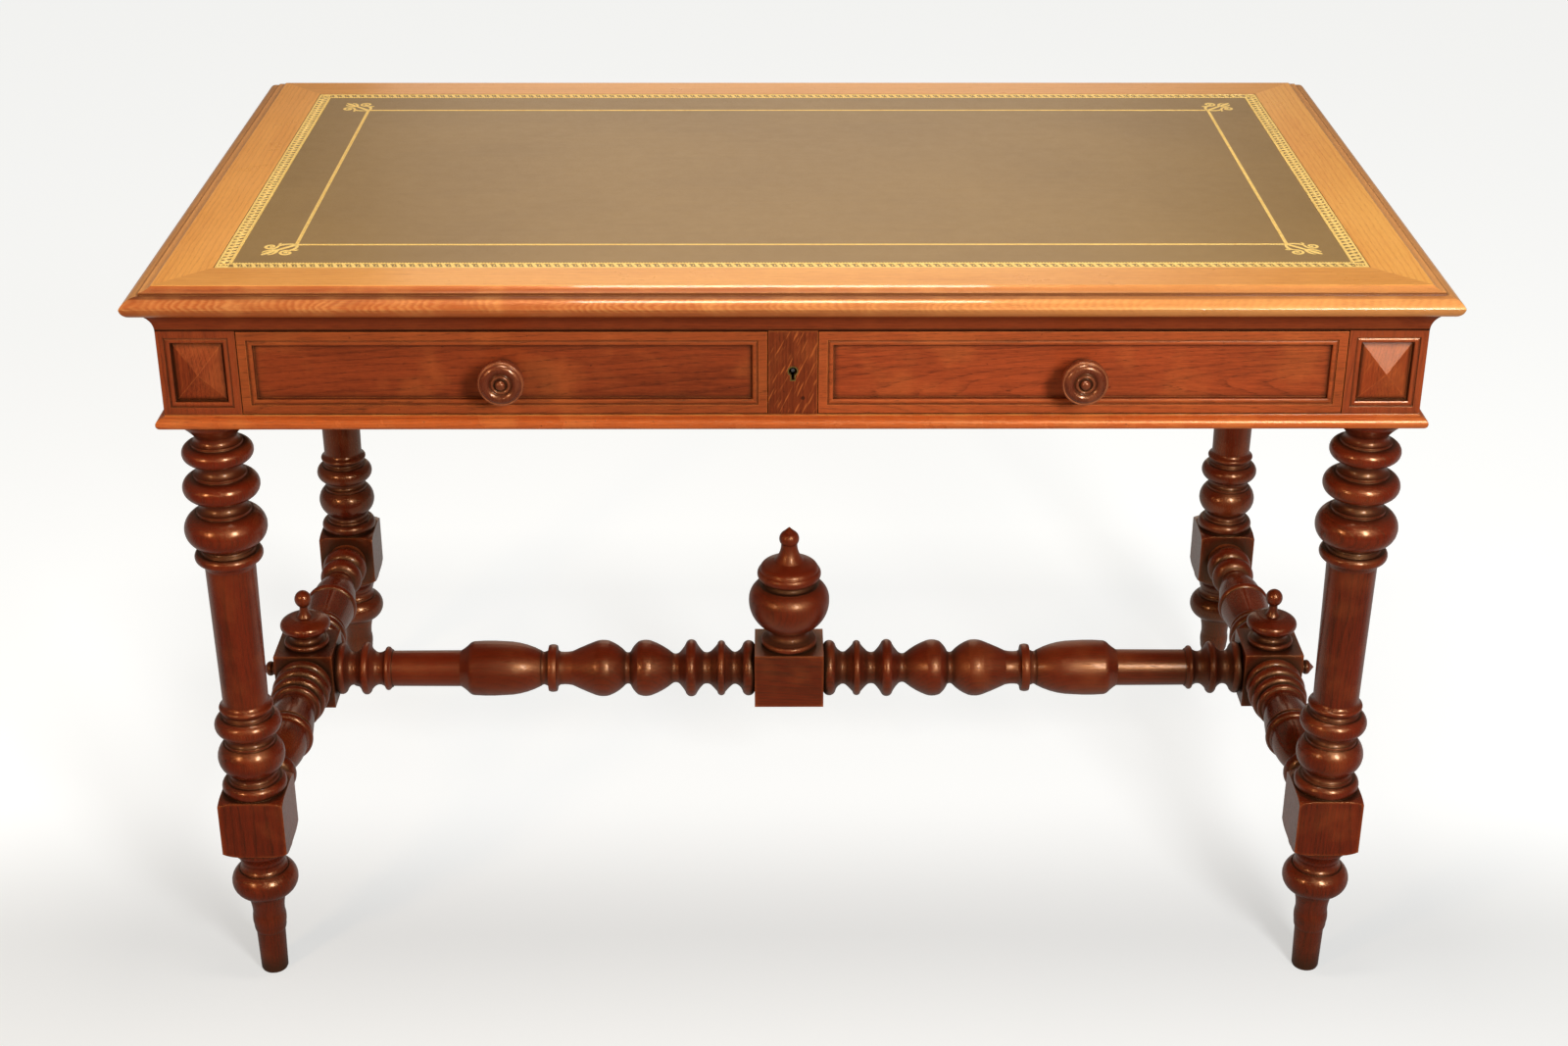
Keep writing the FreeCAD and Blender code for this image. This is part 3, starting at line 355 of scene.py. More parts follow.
def grow(board, pith, tilt, depth):
    """Rings round a pith, on the two axes across the grain, with fibres, streaks and pores along it."""
    tone = board.tone
    wander = board.marks("wander") - 0.5
    ripple = board.marks("ripple") - 0.5
    from_first = board.first - pith[0] + wander * 0.03 + board.along * tilt
    from_second = board.second - pith[1] + wander * 0.02
    radius = (from_first * from_first + from_second * from_second).root()
    year = radius / ring_width + ripple * 0.9
    early = 1.0 - year.part().step(0.0, 0.40)
    board.fibre = board.marks("fibre")
    streak = board.marks("streak")
    drift = board.marks("drift")
    board.pore = board.marks("pore").step(0.54, 0.62) * (0.35 + 0.65 * early)
    shade = 0.35 + early * tone["rings"] + (board.fibre - 0.5) * 0.9 + (streak - 0.5) * 0.5
    board.shade = (shade + (drift - 0.5) * tone["drift"]).step(0.0, 1.0)
    light, dark = shaded(tone["light"], depth), shaded(tone["dark"], depth)
    board.colour = board.finish.mix(board.shade, light, dark)


print("a growth ring is", ring_width, "m wide")

# %% What sets a board apart
top_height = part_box("top_frame_front")[1][2]
nosing_height = top_height - 0.0115
nosing_reach = (0.0030, 0.0064)
chevron_pitch = 0.0075
quirk_height = top_height - 0.006
quirk_reach = (0.0005, 0.0015)
darker_below_height = 0.16
border_depth = 0.0015
nail_reach = (0.0013, 0.0024)


def mould_edge(board, start, end, share):
    """The top's edge is redder, with chevrons of grain on its nosing, and painted paler from start to
    end, where light falls on it.
    """
    tone, mix = board.tone, board.finish.mix
    away = abs(board.second - nosing_height)
    beat = board.marks("beat")
    slant = (board.along - away * 1.1) / chevron_pitch
    chevron = (slant + beat * 4.0 + (board.fibre - 0.5) * 0.5).part()
    chevron = chevron.step(0.0, 0.3) * (1.0 - chevron.step(0.4, 0.9)) * (1.0 - away.step(*nosing_reach))
    side = mix(board.shade, tone["side_light"], tone["side_dark"])
    side = mix(chevron * beat.step(0.25, 0.60) * 0.26, side, tone["worn_and_lit"])
    # Painted light: a share of the edge is painted paler from start to end, where light falls on it.
    painted_light = board.along.step(start, end) * share
    side = mix(painted_light, side, tone["worn_and_lit"])
    # The quirk is painted dark, as dirt and painted shade, less so where the edge is painted light.
    quirk = 1.0 - abs(board.second - quirk_height).step(*quirk_reach)
    side = mix(quirk * (0.75 - 0.7 * painted_light), side, tone["dirt_and_shade"])
    field = board.second.step(top_height - 0.0005, top_height - 0.0001)
    board.colour = mix(field, side, board.colour)


def polish_post(board, foot):
    """A leg's post is polished as the frieze above its foot, and the leg is darker towards its lower end.
    """
    frieze = oak_tones["frieze"]
    polished = board.finish.mix(board.shade, frieze["light"], frieze["dark"])
    board.tint(board.along.step(foot - 0.001, foot + 0.001), polished)
    # The leg's colour is made darker towards its lower end.
    board.tint((1.0 - board.along.step(0.0, darker_below_height)) * 0.35, board.tone["dirt_and_shade"])


def rub_border(board, face):
    """A border that stands proud of a drawer's panel is a little paler."""
    board.tint((1.0 - board.first.step(face, face + border_depth)) * 0.17, board.tone["worn_and_lit"])


def fleck(board, share):
    """Pale rays across the grain of a board that is sawn along the radius."""
    slant = (board.first - board.along * 0.45) / 0.0017
    place = board.finish.vector(board.along / 0.017 + board.seed, slant, board.second / 0.03)
    ray = board.finish.noise(place, detail=1.0).step(0.58, 0.70)
    board.tint(ray * share, board.tone["worn_and_lit"])


def speckle(board, nail):
    """Black specks and, on one board, an old nail hole; both are sunk in the wood too."""
    board.speck = board.clouds(280.0, 1.0).step(0.77, 0.82) * board.tone["specks"]
    if nail:
        beside, above = board.axes.other("X") - nail[0], board.axes.other("Z") - nail[1]
        board.speck = board.speck + 1.0 - (beside * beside + above * above).root().step(*nail_reach)
    board.tint(board.speck * 0.8, board.tone["dirt_and_shade"])


print("the top's nosing is at", round(nosing_height, 4), "m")

# %% Wax, painted shade, wear and painted highlight
crest_reach = 0.005


def age(board, is_turned):
    """Old wax and painted shade in the hollows, and a board's edges and a turning's crests painted pale,
    as worn and lit.
    """
    finish, tone = board.finish, board.tone
    # Painted shade with the old wax: the more closed in a hollow is, the darker it is painted.
    board.wax = finish.hollow(tone["reach"]).step(*tone["hollow"])
    board.tint(board.wax * 0.9, tone["dirt_and_shade"])
    board.rounded = finish.node("Bevel", {"samples": 4}, {"Radius": tone["edge"]})
    # Wear and painted highlight: edges and crests are painted paler, as worn and as catching the light.
    if is_turned:
        crest = finish.hollow(crest_reach, inside=True, only_local=True).step(0.20, 0.65)
    else:
        facing = {"Vector": board.rounded, "Vector_001": finish.node("NewGeometry", {}, {}, "Normal")}
        crest = 1.0 - finish.node("VectorMath", {"operation": "DOT_PRODUCT"}, facing, "Value")
        crest = crest.step(0.006, 0.10)
    patchy = board.clouds(55.0, 3.0).step(0.30, 0.65)
    board.tint(crest * (0.35 + 0.65 * patchy) * (1.0 - board.wax * 0.6) * 0.9, tone["worn_and_lit"])


print("crests of turned rings are looked for within", crest_reach, "m")

# %% Solid oak
polish_tint = (1.0, 0.92, 0.82)
golden_gloss = (1.0, 0.50, 0.22)


def oak(
    name, tone, grain, pith, seed,
    depth=1.0, tilt=0.0, lit_stretch=None, post=None, proud=None, flecks=0.0, nail=None,
):
    """Oak with its grain along one axis and its pith at a place on the other two, in metres."""
    board = Board(name, tone, grain, seed)
    grow(board, pith, tilt, depth)
    if lit_stretch:
        mould_edge(board, *lit_stretch)
    if post is not None:
        polish_post(board, post)
    if proud is not None:
        rub_border(board, proud)
    cloud = board.clouds(26.0, 4.0)
    board.tint(cloud.step(0.46, 0.74) * 0.22, board.tone["worn_and_lit"])
    board.tint(board.pore * board.tone["pores"], board.tone["dirt_and_shade"])
    if flecks:
        fleck(board, flecks)
    speckle(board, nail)
    age(board, tone in turned_tones)

    finish, polish = board.finish, board.tone
    roughness = polish["rough"] + (cloud - 0.5) * 0.14 + board.pore * 0.14 + board.wax * 0.25
    surface = board.clouds(120.0, 2.0) * 0.2 + board.fibre * 0.2 - board.pore * 0.5 - board.speck
    finish.shade(Base_Color=board.colour, Roughness=roughness)
    finish.shade(Normal=finish.bump(surface, 0.3, 0.0004, Normal=board.rounded))
    finish.shade(Coat_Weight=polish["coat"], Coat_Roughness=polish["sheen"], Coat_Tint=polish_tint)
    finish.shade(IOR=1.6, Specular_IOR_Level=polish["gloss"], Specular_Tint=golden_gloss)
    return finish.owner


print("oak is read at each point of the wood")

# %% [markdown]
# ## Which board is which
# A joiner lays the grain along each board's length, and no two boards come from the same place in the
# log. So each solid gets oak of its own: the tone of its place on the table, the direction of its grain
# and a pith of its own. The turnings have the pith close by, so that the rings make ovals on every bulge.

# %% List the boards
# Each row: solid, tone, grain, pith on the two other axes.
boards = [
    ("top_frame_front", "top", "X", (-0.22, 0.62)),
    ("top_frame_back", "top", "X", (0.40, 0.60)),
    ("top_frame_left", "top", "Y", (-0.45, 0.61)),
    ("top_frame_right", "top", "Y", (0.62, 0.60)),
    ("cove_front", "cove", "X", (-0.30, 0.60)),
    ("cove_back", "cove", "X", (0.30, 0.60)),
    ("cove_left", "cove", "Y", (-0.50, 0.62)),
    ("cove_right", "cove", "Y", (0.50, 0.61)),
    ("base_moulding_front", "moulding", "X", (-0.28, 0.70)),
    ("base_moulding_back", "moulding", "X", (0.28, 0.70)),
    ("base_moulding_left", "moulding", "Y", (-0.52, 0.70)),
    ("base_moulding_right", "moulding", "Y", (0.52, 0.70)),
    ("front_top_rail", "cove", "X", (-0.10, 0.60)),
    ("front_bottom_rail", "moulding", "X", (-0.10, 0.75)),
    ("centre_muntin", "frieze", "Z", (0.15, -0.28)),
    ("back_apron", "frieze", "X", (0.22, 0.68)),
    ("left_apron", "frieze", "Y", (-0.45, 0.69)),
    ("right_apron", "frieze", "Y", (0.46, 0.65)),
    ("left_drawer_front", "frieze", "X", (-0.16, 0.60)),
    ("right_drawer_front", "frieze", "X", (-0.27, 0.655)),
    ("leg_front_left", "turned", "Z", (-0.50, -0.24)),
    ("leg_front_right", "turned", "Z", (0.57, -0.25)),
    ("leg_back_left", "turned", "Z", (-0.55, 0.34)),
    ("leg_back_right", "turned", "Z", (0.49, 0.33)),
    ("corner_bosses", "frieze", "Z", (0.0, 0.0)),
    ("left_side_stretcher", "turned", "Y", (-0.56, 0.22)),
    ("right_side_stretcher", "turned", "Y", (0.50, 0.22)),
    ("centre_stretcher", "stretcher", "X", (0.03, 0.22)),
    ("centre_finial", "stretcher", "Z", (0.03, 0.02)),
    ("left_finial", "turned", "Z", (-0.51, 0.02)),
    ("right_finial", "turned", "Z", (0.51, 0.02)),
    ("left_button", "turned", "X", (0.03, 0.19)),
    ("right_button", "turned", "X", (0.03, 0.19)),
    ("left_drawer_knob", "knob", "Z", (-0.24, -0.30)),
    ("right_drawer_knob", "knob", "Z", (0.28, -0.30)),
    ("top_panel", "plain", "X", (0.05, 0.60)),
    ("left_runner", "plain", "Y", (-0.40, 0.55)),
    ("centre_runner", "plain", "Y", (0.08, 0.55)),
    ("right_runner", "plain", "Y", (0.40, 0.55)),
    ("drawer_guides", "plain", "Y", (0.10, 0.50)),
    ("kickers", "plain", "Y", (0.10, 0.80)),
    ("drawer_stops", "plain", "X", (-0.20, 0.55)),
    ("glue_blocks", "plain", "Y", (0.20, 0.60)),
]
for hand, pith_x in (("left", -0.30), ("right", 0.30)):
    boards += [
        (hand + "_drawer_inner_side", "plain", "Y", (pith_x, 0.60)),
        (hand + "_drawer_outer_side", "plain", "Y", (pith_x, 0.75)),
        (hand + "_drawer_back", "plain", "X", (0.30, 0.60)),
        (hand + "_drawer_bottom", "plain", "X", (0.02, 0.50)),
    ]
print(len(boards), "solids are oak")

# %% Dress the oak solids
# What sets a board apart: a paler or a deeper log, and on the drawer fronts painted light (depth), a
# slanting pith (tilt), ray flecks, an old nail hole at x and z, a border that stands proud, a post that
# is polished as the frieze, and a moulded edge that is painted paler where light falls on it, from one
# place along it to another, by a share (lit_stretch).
frieze_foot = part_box("front_bottom_rail")[0][2]
drawer_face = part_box("left_drawer_front")[0][1]
traits = {
    "top_frame_front": {"lit_stretch": (-0.20, 0.45, 0.5)},
    "top_frame_left": {"depth": 1.13, "lit_stretch": (-0.50, -0.36, 0.8)},
    "top_frame_right": {"depth": 1.24, "lit_stretch": (-0.50, -0.36, 0.8)},
    "top_frame_back": {"lit_stretch": (-0.70, -0.60, 0.2)},
    # Painted light: the left drawer is painted darker and the right one paler, as the light falls from
    # the right.
    "left_drawer_front": {"depth": 0.84, "tilt": 0.03, "proud": drawer_face},
    "right_drawer_front": {"depth": 1.16, "tilt": 0.055, "proud": drawer_face},
    "centre_muntin": {"depth": 0.64, "flecks": 0.45, "nail": (0.009, 0.6435)},
    "corner_bosses": {"flecks": 0.15},
    "back_apron": {"tilt": 0.03},
    "left_apron": {"tilt": 0.04},
    "right_apron": {"tilt": -0.04},
    "leg_front_left": {"post": frieze_foot},
    "leg_front_right": {"post": frieze_foot},
    "leg_back_left": {"depth": 0.78, "post": frieze_foot},
    "leg_back_right": {"depth": 0.78, "post": frieze_foot},
}


def dress(node, material):
    """Gives a CAD solid one finish all over."""
    slots = nodes[node].data.materials
    slots.clear()
    slots.append(material)


for seed, (node, tone, grain, pith) in enumerate(boards, 1):
    dress(node, oak(node + "_oak", tone, grain, pith, seed, **traits.get(node, {})))
print(len(boards), "oak solids dressed,", len(traits), "with traits of their own")

# %% [markdown]
# ## Turned knobs
# Each drawer has one knob: a slender neck, a wide flange with a bead at its rim, and a face with a raised
# ring and a button at the middle. The CAD knob has the main form. The face's fine rings catch the light,
# so the knob is turned again here from a profile with many more points. A Screw modifier could turn it,
# but rings of points laid round the axis in code keep the spigot's end closed and the rings even.

# %% Knob profile
# Each pair: radius and distance from the drawer's panel, in millimetres.
knob_stops = [
    (11.0, 0.0), (11.2, 1.2), (10.4, 2.4), (9.2, 5.0), (9.0, 9.0), (10.2, 13.0),
    (13.6, 16.8), (17.6, 19.4), (19.5, 21.0), (20.1, 22.8), (19.9, 24.6), (19.3, 25.9),
    (19.4, 26.7), (20.2, 27.8), (20.7, 29.2), (20.4, 30.6), (19.6, 31.3), (18.7, 31.2),
    (18.2, 31.5), (17.2, 32.8), (15.3, 33.9), (13.0, 34.0), (11.0, 33.0), (9.9, 31.9),
    (9.4, 31.9), (8.8, 32.8), (7.9, 33.7), (6.9, 33.7), (6.1, 32.9), (5.6, 32.0),
    (5.1, 32.0), (4.7, 33.0), (4.3, 34.6), (3.4, 36.0), (1.9, 36.8), (0.0, 37.0),
]
knob_length = knob_stops[-1][1]
spigot_radius = 7.0


def smooth_line(stops, steps):
    """Points on a curve that goes through every stop."""
    stops = [stops[0], *stops, stops[-1]]
    line = []
    for i in range(len(stops) - 3):
        for k in range(steps):
            t = k / steps
            shares = (-t + 2 * t**2 - t**3, 2 - 5 * t**2 + 3 * t**3, t + 4 * t**2 - 3 * t**3, t**3 - t**2)
            near = list(zip(shares, stops[i : i + 4]))
            line.append(tuple(sum(share * stop[n] for share, stop in near) / 2 for n in (0, 1)))
    return line + [stops[-1]]


knob_profile = smooth_line(knob_stops, 4)
print("knob profile of", len(knob_profile), "points")


# %% Turn the knobs
def mesh_piece(name, points, faces, body):
    """A new piece of the table from points and faces, riding on a body."""
    mesh = bpy.data.meshes.new(name)
    mesh.from_pydata(points, [], faces)
    mesh.validate()
    piece = bpy.data.objects.new(name, mesh)
    scene.collection.objects.link(piece)
    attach(piece, body)
    return piece


def smooth(piece):
    """Shades a piece as one rounded surface."""
    for face in piece.data.polygons:
        face.use_smooth = True


def turns(sides):
    """Angles of a whole turn in equal steps."""
    return [2 * math.pi * i / sides for i in range(sides)]


knob_sides = 72
for hand in ("left", "right"):
    low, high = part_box(hand + "_drawer_knob")
    axis_x, axis_z = (low[0] + high[0]) / 2, (low[2] + high[2]) / 2
    panel = low[1] + knob_length / 1000
    outline = [(spigot_radius, 1000 * (panel - high[1])), (spigot_radius, 0.0)] + knob_profile
    points = [(axis_x, high[1], axis_z)]
    for radius, out in outline[:-1]:
        for angle in turns(knob_sides):
            x = axis_x + radius / 1000 * math.cos(angle)
            z = axis_z + radius / 1000 * math.sin(angle)
            points.append((x, panel - out / 1000, z))
    points.append((axis_x, low[1], axis_z))
    tip = len(points) - 1
    last_ring = tip - knob_sides
    faces = []
    for k in range(knob_sides):
        n = (k + 1) % knob_sides
        faces.append((0, 1 + k, 1 + n))
        for ring in range(1, last_ring, knob_sides):
            after = ring + knob_sides
            faces.append((ring + k, after + k, after + n, ring + n))
        faces.append((last_ring + k, tip, last_ring + n))
    knob = mesh_piece(hand + "_turned_knob", points, faces, hand + "_drawer")
    smooth(knob)
    knob.data.materials.append(nodes[hand + "_drawer_knob"].data.materials[0])
    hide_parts(hand + "_drawer_knob")
    print(knob.name, len(faces), "faces")

# %% [markdown]
# ## Brass and steel of the lock
# The keyhole has a thin brass lining, bright where a key has rubbed it and brown beside the wood. The
# lock behind it is dull steel. A plain metal colour would look new, so both are stained in clouds and in
# their corners, and are rougher where they are stained.


# %% Metals
def metal(name, bright, stain, bright_rough, stain_rough):
    """Old metal: its own colour where it is rubbed, a stain where it isn't."""
    finish = new_finish(name)
    cloud = finish.noise(finish.place(), scale=420.0, detail=4.0, roughness=0.6)
    dull = (cloud.step(0.35, 0.75) * 0.7 + finish.hollow(0.003) * 0.6).step(0.1, 0.9)
    finish.shade(Base_Color=finish.mix(dull, bright, stain), Metallic=1.0)
    finish.shade(Roughness=bright_rough + dull * (stain_rough - bright_rough))
    finish.shade(Normal=finish.bump(cloud, 0.2, 0.0002))
    return finish.owner


keyhole_brass = metal("keyhole_brass", paint(240, 198, 112), paint(150, 104, 50), 0.24, 0.45)
dress("keyhole_liner", keyhole_brass)
lock_steel = metal("lock_steel", paint(150, 147, 142), paint(72, 64, 56), 0.3, 0.6)
for node in ("lock_case", "lock_pin", "left_lock_bolt", "right_lock_bolt"):
    dress(node, lock_steel)
print("lock dressed")

# %% [markdown]
# ## The leather
# The writing leather is a skin of olive brown, pared thin and glued down inside the frame. A plane with
# a picture would be flat; here it is a fine grid, a hair uneven as glued leather is, and sunk a little
# where the hot tools pressed the gilt bands into it. The grain itself is finer than the grid, so it is
# left to a bump made of small cells.

# %% Sizes of the tooling
leather_low, leather_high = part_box("top_leather")
half_x = (leather_high[0] - leather_low[0]) / 2
half_y = (leather_high[1] - leather_low[1]) / 2
leather_top = leather_high[2]
band_width = 0.0142
line_inset = 0.0627
line_width = 0.0025
line_margin = 0.0002
pressed = 0.00016
swell = 0.00003


def pressed_depth(x, y):
    """How far the tools have sunk the leather at a point."""
    edge = min(half_x - abs(x), half_y - abs(y))
    in_band = edge < band_width
    in_line = abs(edge - line_inset) < line_width / 2 + line_margin
    return pressed if in_band or in_line else 0.0


def unevenness(x, y):
    """Slow waves of glued leather, a tenth of a millimetre or two below the gilding."""
    return swell * (math.sin(x * 23 + y * 11) + math.sin(x * 9 - y * 31 + 1.3) - 5.0)


print("leather", round(half_x * 2, 4), "by", round(half_y * 2, 4), "m")

# %% Leather sheet
middle_cells = 40


def cuts(half):
    """Grid lines across the leather: close together at the pressed bands, wider in the middle."""
    near = [0.0, 0.0006] + [band_width + d for d in (-0.0006, -0.0002, 0.0002, 0.0006)]
    for side in (-1, 1):
        near += [line_inset + side * (line_width / 2 + d) for d in (-0.0003, 0.0001, 0.0004, 0.0008)]
    near += [0.02 + 0.008 * i for i in range(5)]
    edge = sorted(half - d for d in near)
    inside = half - line_inset - 0.006
    middle = [inside * (2 * i / middle_cells - 1) for i in range(middle_cells + 1)]
    return sorted([-v for v in edge] + middle + edge)


xs, ys = cuts(half_x), cuts(half_y)
wide, deep = len(xs), len(ys)
points = [(x, y, leather_top - pressed_depth(x, y) + unevenness(x, y)) for y in ys for x in xs]
faces = []
for j in range(deep - 1):
    for k in range(j * wide, j * wide + wide - 1):
        faces.append((k, k + 1, k + wide + 1, k + wide))
rim = list(range(wide))
rim += [j * wide + wide - 1 for j in range(1, deep)]
rim += [(deep - 1) * wide + i for i in range(wide - 2, -1, -1)]
rim += [j * wide for j in range(deep - 2, 0, -1)]
skirt = len(points)
points += [(points[k][0], points[k][1], leather_low[2]) for k in rim]
for i, k in enumerate(rim):
    n = (i + 1) % len(rim)
    faces.append((k, skirt + i, skirt + n, rim[n]))
leather = mesh_piece("writing_leather", points, faces, "table")
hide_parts("top_leather")
smooth(leather)
print("leather grid", wide, "by", deep)

# %% Leather finish
hide = new_finish("olive_leather")
place = hide.place()
pebbles = {"Vector": place, "Scale": 900.0}
between = hide.node("TexVoronoi", {"feature": "DISTANCE_TO_EDGE"}, pebbles, "Distance")
crease = 1.0 - between.step(0.0, 0.16)
drift = hide.noise(place, scale=5.0, detail=4.0, roughness=0.55)
mottle = hide.noise(place, scale=60.0, detail=4.0, roughness=0.6)
spread = hide.node("SeparateXYZ", {}, {"Vector": place})
wiped = hide.noise(hide.vector(spread.other("X") * 5.0, spread.other("Y") * 150.0, 0.0), detail=3.0)
stain = (drift - 0.5) * 0.7 + (mottle - 0.5) * 0.25 + (wiped - 0.5) * 0.3 + 0.45
skin = hide.mix(stain.step(0.0, 1.0), paint(158, 123, 66), paint(132, 100, 50))
skin = hide.mix(crease * 0.25, skin, paint(88, 64, 34))
spots = hide.noise(place, scale=310.0, detail=1.0).step(0.66, 0.74)
skin = hide.mix(spots * 0.12, skin, paint(96, 70, 38))
hide.shade(Base_Color=skin, Roughness=0.36 + (mottle - 0.5) * 0.10 + crease * 0.08)
pebbled = hide.noise(place, scale=1400.0, detail=2.0) * 0.4 - crease * 0.7
hide.shade(Normal=hide.bump(pebbled, 0.25, 0.0003))
hide.shade(Coat_Weight=0.30, Coat_Roughness=0.22)
leather.data.materials.append(hide.owner)
print("leather finished with", len(hide.tree.nodes), "nodes")

# %% [markdown]
# ## Gilt tooling
# Gold leaf is pressed into the leather with hot brass rolls and stamps: a broad band of S-scrolls, leaves
# and dots between two lines along the edge, a narrow roped line inside it, and a scroll at each corner of
# that line. It could be a painted mask, but then it would blur close to. Each stroke is a thin ribbon of
# its own, low in the sunk leather, and all the ribbons of one tool make one piece.

# %% Ribbons of gold
ribbon_top = leather_top - 0.00004
ribbon_foot = leather_top - 0.00040
foot_spread = 1.12
# Ribbons take turns at a few heights, so that no two that cross have their tops in one plane.
ribbon_heights = 7
height_step = 0.000007


class Tooling:
    """Gold ribbons that are drawn one by one and become one piece."""

    def __init__(self):
        self.points = []
        self.faces = []
        self.strokes = 0

    def stroke(self, line, widths, closed=False):
        """Ribbon along plane points; widths is one number or one for each point."""
        count = len(line)
        if not hasattr(widths, "__len__"):
            widths = [widths] * count
        start = len(self.points)
        top = ribbon_top - height_step * (self.strokes % ribbon_heights)
        self.strokes += 1
        for i, (x, y) in enumerate(line):
            before = line[i - 1] if i or closed else line[0]
            after = line[(i + 1) % count] if i < count - 1 or closed else line[-1]
            dx, dy = after[0] - before[0], after[1] - before[1]
            size = math.hypot(dx, dy) or 1.0
            nx, ny = -dy / size * widths[i] / 2, dx / size * widths[i] / 2
            self.points += [
                (x - nx * foot_spread, y - ny * foot_spread, ribbon_foot),
                (x - nx, y - ny, top),
                (x + nx, y + ny, top),
                (x + nx * foot_spread, y + ny * foot_spread, ribbon_foot),
            ]
        for i in range(count if closed else count - 1):
            a = start + i * 4
            b = start + (i + 1) % count * 4
            self.faces += [(a + k, b + k, b + k + 1, a + k + 1) for k in range(3)]
        if not closed:
            last = start + (count - 1) * 4
            self.faces.append((start, start + 1, start + 2, start + 3))
            self.faces.append((last + 3, last + 2, last + 1, last))

    def dot(self, x, y, radius):
        """Small round dot: a ring of ribbon so broad that it all but closes at the middle."""
        ring = [(x + radius / 2 * math.cos(t), y + radius / 2 * math.sin(t)) for t in turns(10)]
        self.stroke(ring, radius * 0.98, closed=True)

    def piece(self, name, material):
        """Makes one piece of all the ribbons."""
        made = mesh_piece(name, self.points, self.faces, "table")
        made.data.materials.append(material)
        print(name, self.strokes, "strokes,", len(self.faces), "faces")


gilt = new_finish("gold_leaf")
worn = gilt.noise(gilt.place(), scale=240.0, detail=4.0, roughness=0.65)
leaf = gilt.mix(worn.step(0.45, 0.80), paint(255, 216, 124), paint(232, 176, 88))
gilt.shade(Base_Color=leaf, Metallic=0.10, Roughness=0.38 + (worn - 0.5) * 0.3)
gilt.shade(Normal=gilt.bump(worn, 0.2, 0.0002))
print("gold leaf ready")

# %% Edge band
# Sizes in metres, insets measured in from the leather's edge.
band_lines = ((0.0015, 0.0020), (0.0119, 0.0014))  # inset and width
link_pitch = 0.0081
link_inset = 0.0064
link_swing = 0.0042
link_reach = 0.62
link_sway = [k / 10 - 0.5 for k in range(11)]
link_widths = [0.0018 + 0.0016 * math.cos(math.pi * s) ** 2 for s in link_sway]
leaf_stops = ((0.98, 0.0050), (1.05, 0.0062), (1.02, 0.0080))  # share of the pitch and inset
leaf_widths = (0.0004, 0.0014, 0.0004)
dot_inset = 0.0133
dot_radius = 0.0008
flower_rings = ((0.0048, 0.0011), (0.0024, 0.0009))  # radius and width
petal_ends = (0.0026, 0.0062)
petal_widths = (0.0008, 0.0020)
leather_sides = {"front": 2 * half_x, "right": 2 * half_y, "back": 2 * half_x, "left": 2 * half_y}


def along_side(side, run, inset):
    """Plane point a run along a side, from its left end seen from outside, and an inset from its edge."""
    if side == "front":
        return (-half_x + run, -half_y + inset)
    if side == "right":
        return (half_x - inset, -half_y + run)
    if side == "back":
        return (half_x - run, half_y - inset)
    return (-half_x + inset, half_y - run)


def roll_band(tooling, side, length):
    """The band along one side: two lines, a chain of S-scrolls with leaves and dots, a corner flower."""

    def at(run, inset):
        return along_side(side, run, inset)

    def round_corner(radius, angle):
        middle = band_width / 2
        return at(middle + radius * math.cos(angle), middle + radius * math.sin(angle))

    for inset, width in band_lines:
        tooling.stroke([at(inset, inset), at(length - inset, inset)], width)
    clear = length - 2 * band_width
    count = round(clear / link_pitch)
    pitch = clear / count
    for i in range(count):
        run = band_width + pitch * i
        link = []
        for s in link_sway:
            swung = link_inset - link_swing * math.sin(math.pi * s)
            link.append(at(run + pitch * (0.5 + link_reach * s), swung))
        tooling.stroke(link, link_widths)
        tooling.stroke([at(run + pitch * share, inset) for share, inset in leaf_stops], leaf_widths)
        for k in range(3):
            tooling.dot(*at(run + pitch * (k + 0.5) / 3, dot_inset), dot_radius)
    for radius, width in flower_rings:
        tooling.stroke([round_corner(radius, t) for t in turns(16)], width, closed=True)
    for t in turns(4):
        tooling.stroke([round_corner(r, t + math.pi / 4) for r in petal_ends], petal_widths)


band = Tooling()
for side, length in leather_sides.items():
    roll_band(band, side, length)
band.piece("gilt_edge_band", gilt.owner)

# %% Inner line
rope_pitch = 0.0026
rope_lean = 0.0007
rope_reach = 0.0010
rope_width = 0.0012
hair_width = 0.0007
inner = Tooling()
for side, length in leather_sides.items():
    for inset in (line_inset - line_width / 2, line_inset + line_width / 2):
        ends = [along_side(side, inset, inset), along_side(side, length - inset, inset)]
        inner.stroke(ends, hair_width)
    clear = length - 2 * line_inset
    count = round(clear / rope_pitch)
    for i in range(count):
        run = line_inset + clear * (i + 0.5) / count
        start = along_side(side, run - rope_lean, line_inset - rope_reach)
        end = along_side(side, run + rope_lean, line_inset + rope_reach)
        inner.stroke([start, end], rope_width)
inner.piece("gilt_inner_line", gilt.owner)


# %% Curves of the corner scrolls
def curl(middle, start_radius, end_radius, start_angle, sweep, count=26):
    """Points of a spiral round a point."""
    line = []
    for i in range(count):
        s = i / (count - 1)
        radius = start_radius + (end_radius - start_radius) * s
        angle = start_angle + sweep * s
        line.append((middle[0] + radius * math.cos(angle), middle[1] + radius * math.sin(angle)))
    return line


def bent(start, pull, end, count=12):
    """Points of a curve from start to end, drawn towards a third point."""
    line = []
    for i in range(count):
        s = i / (count - 1)
        near = list(zip(((1 - s) ** 2, 2 * s * (1 - s), s**2), (start, pull, end)))
        line.append(tuple(sum(share * point[k] for share, point in near) for k in (0, 1)))
    return line


def tapered(count, first, last):
    """Widths from first to last, with a swelling between them."""
    shares = [i / (count - 1) for i in range(count)]
    return [(first + (last - first) * s + 0.0005 * math.sin(math.pi * s)) * 1.4 for s in shares]


print("curls, bends and tapers are ready for the corners")


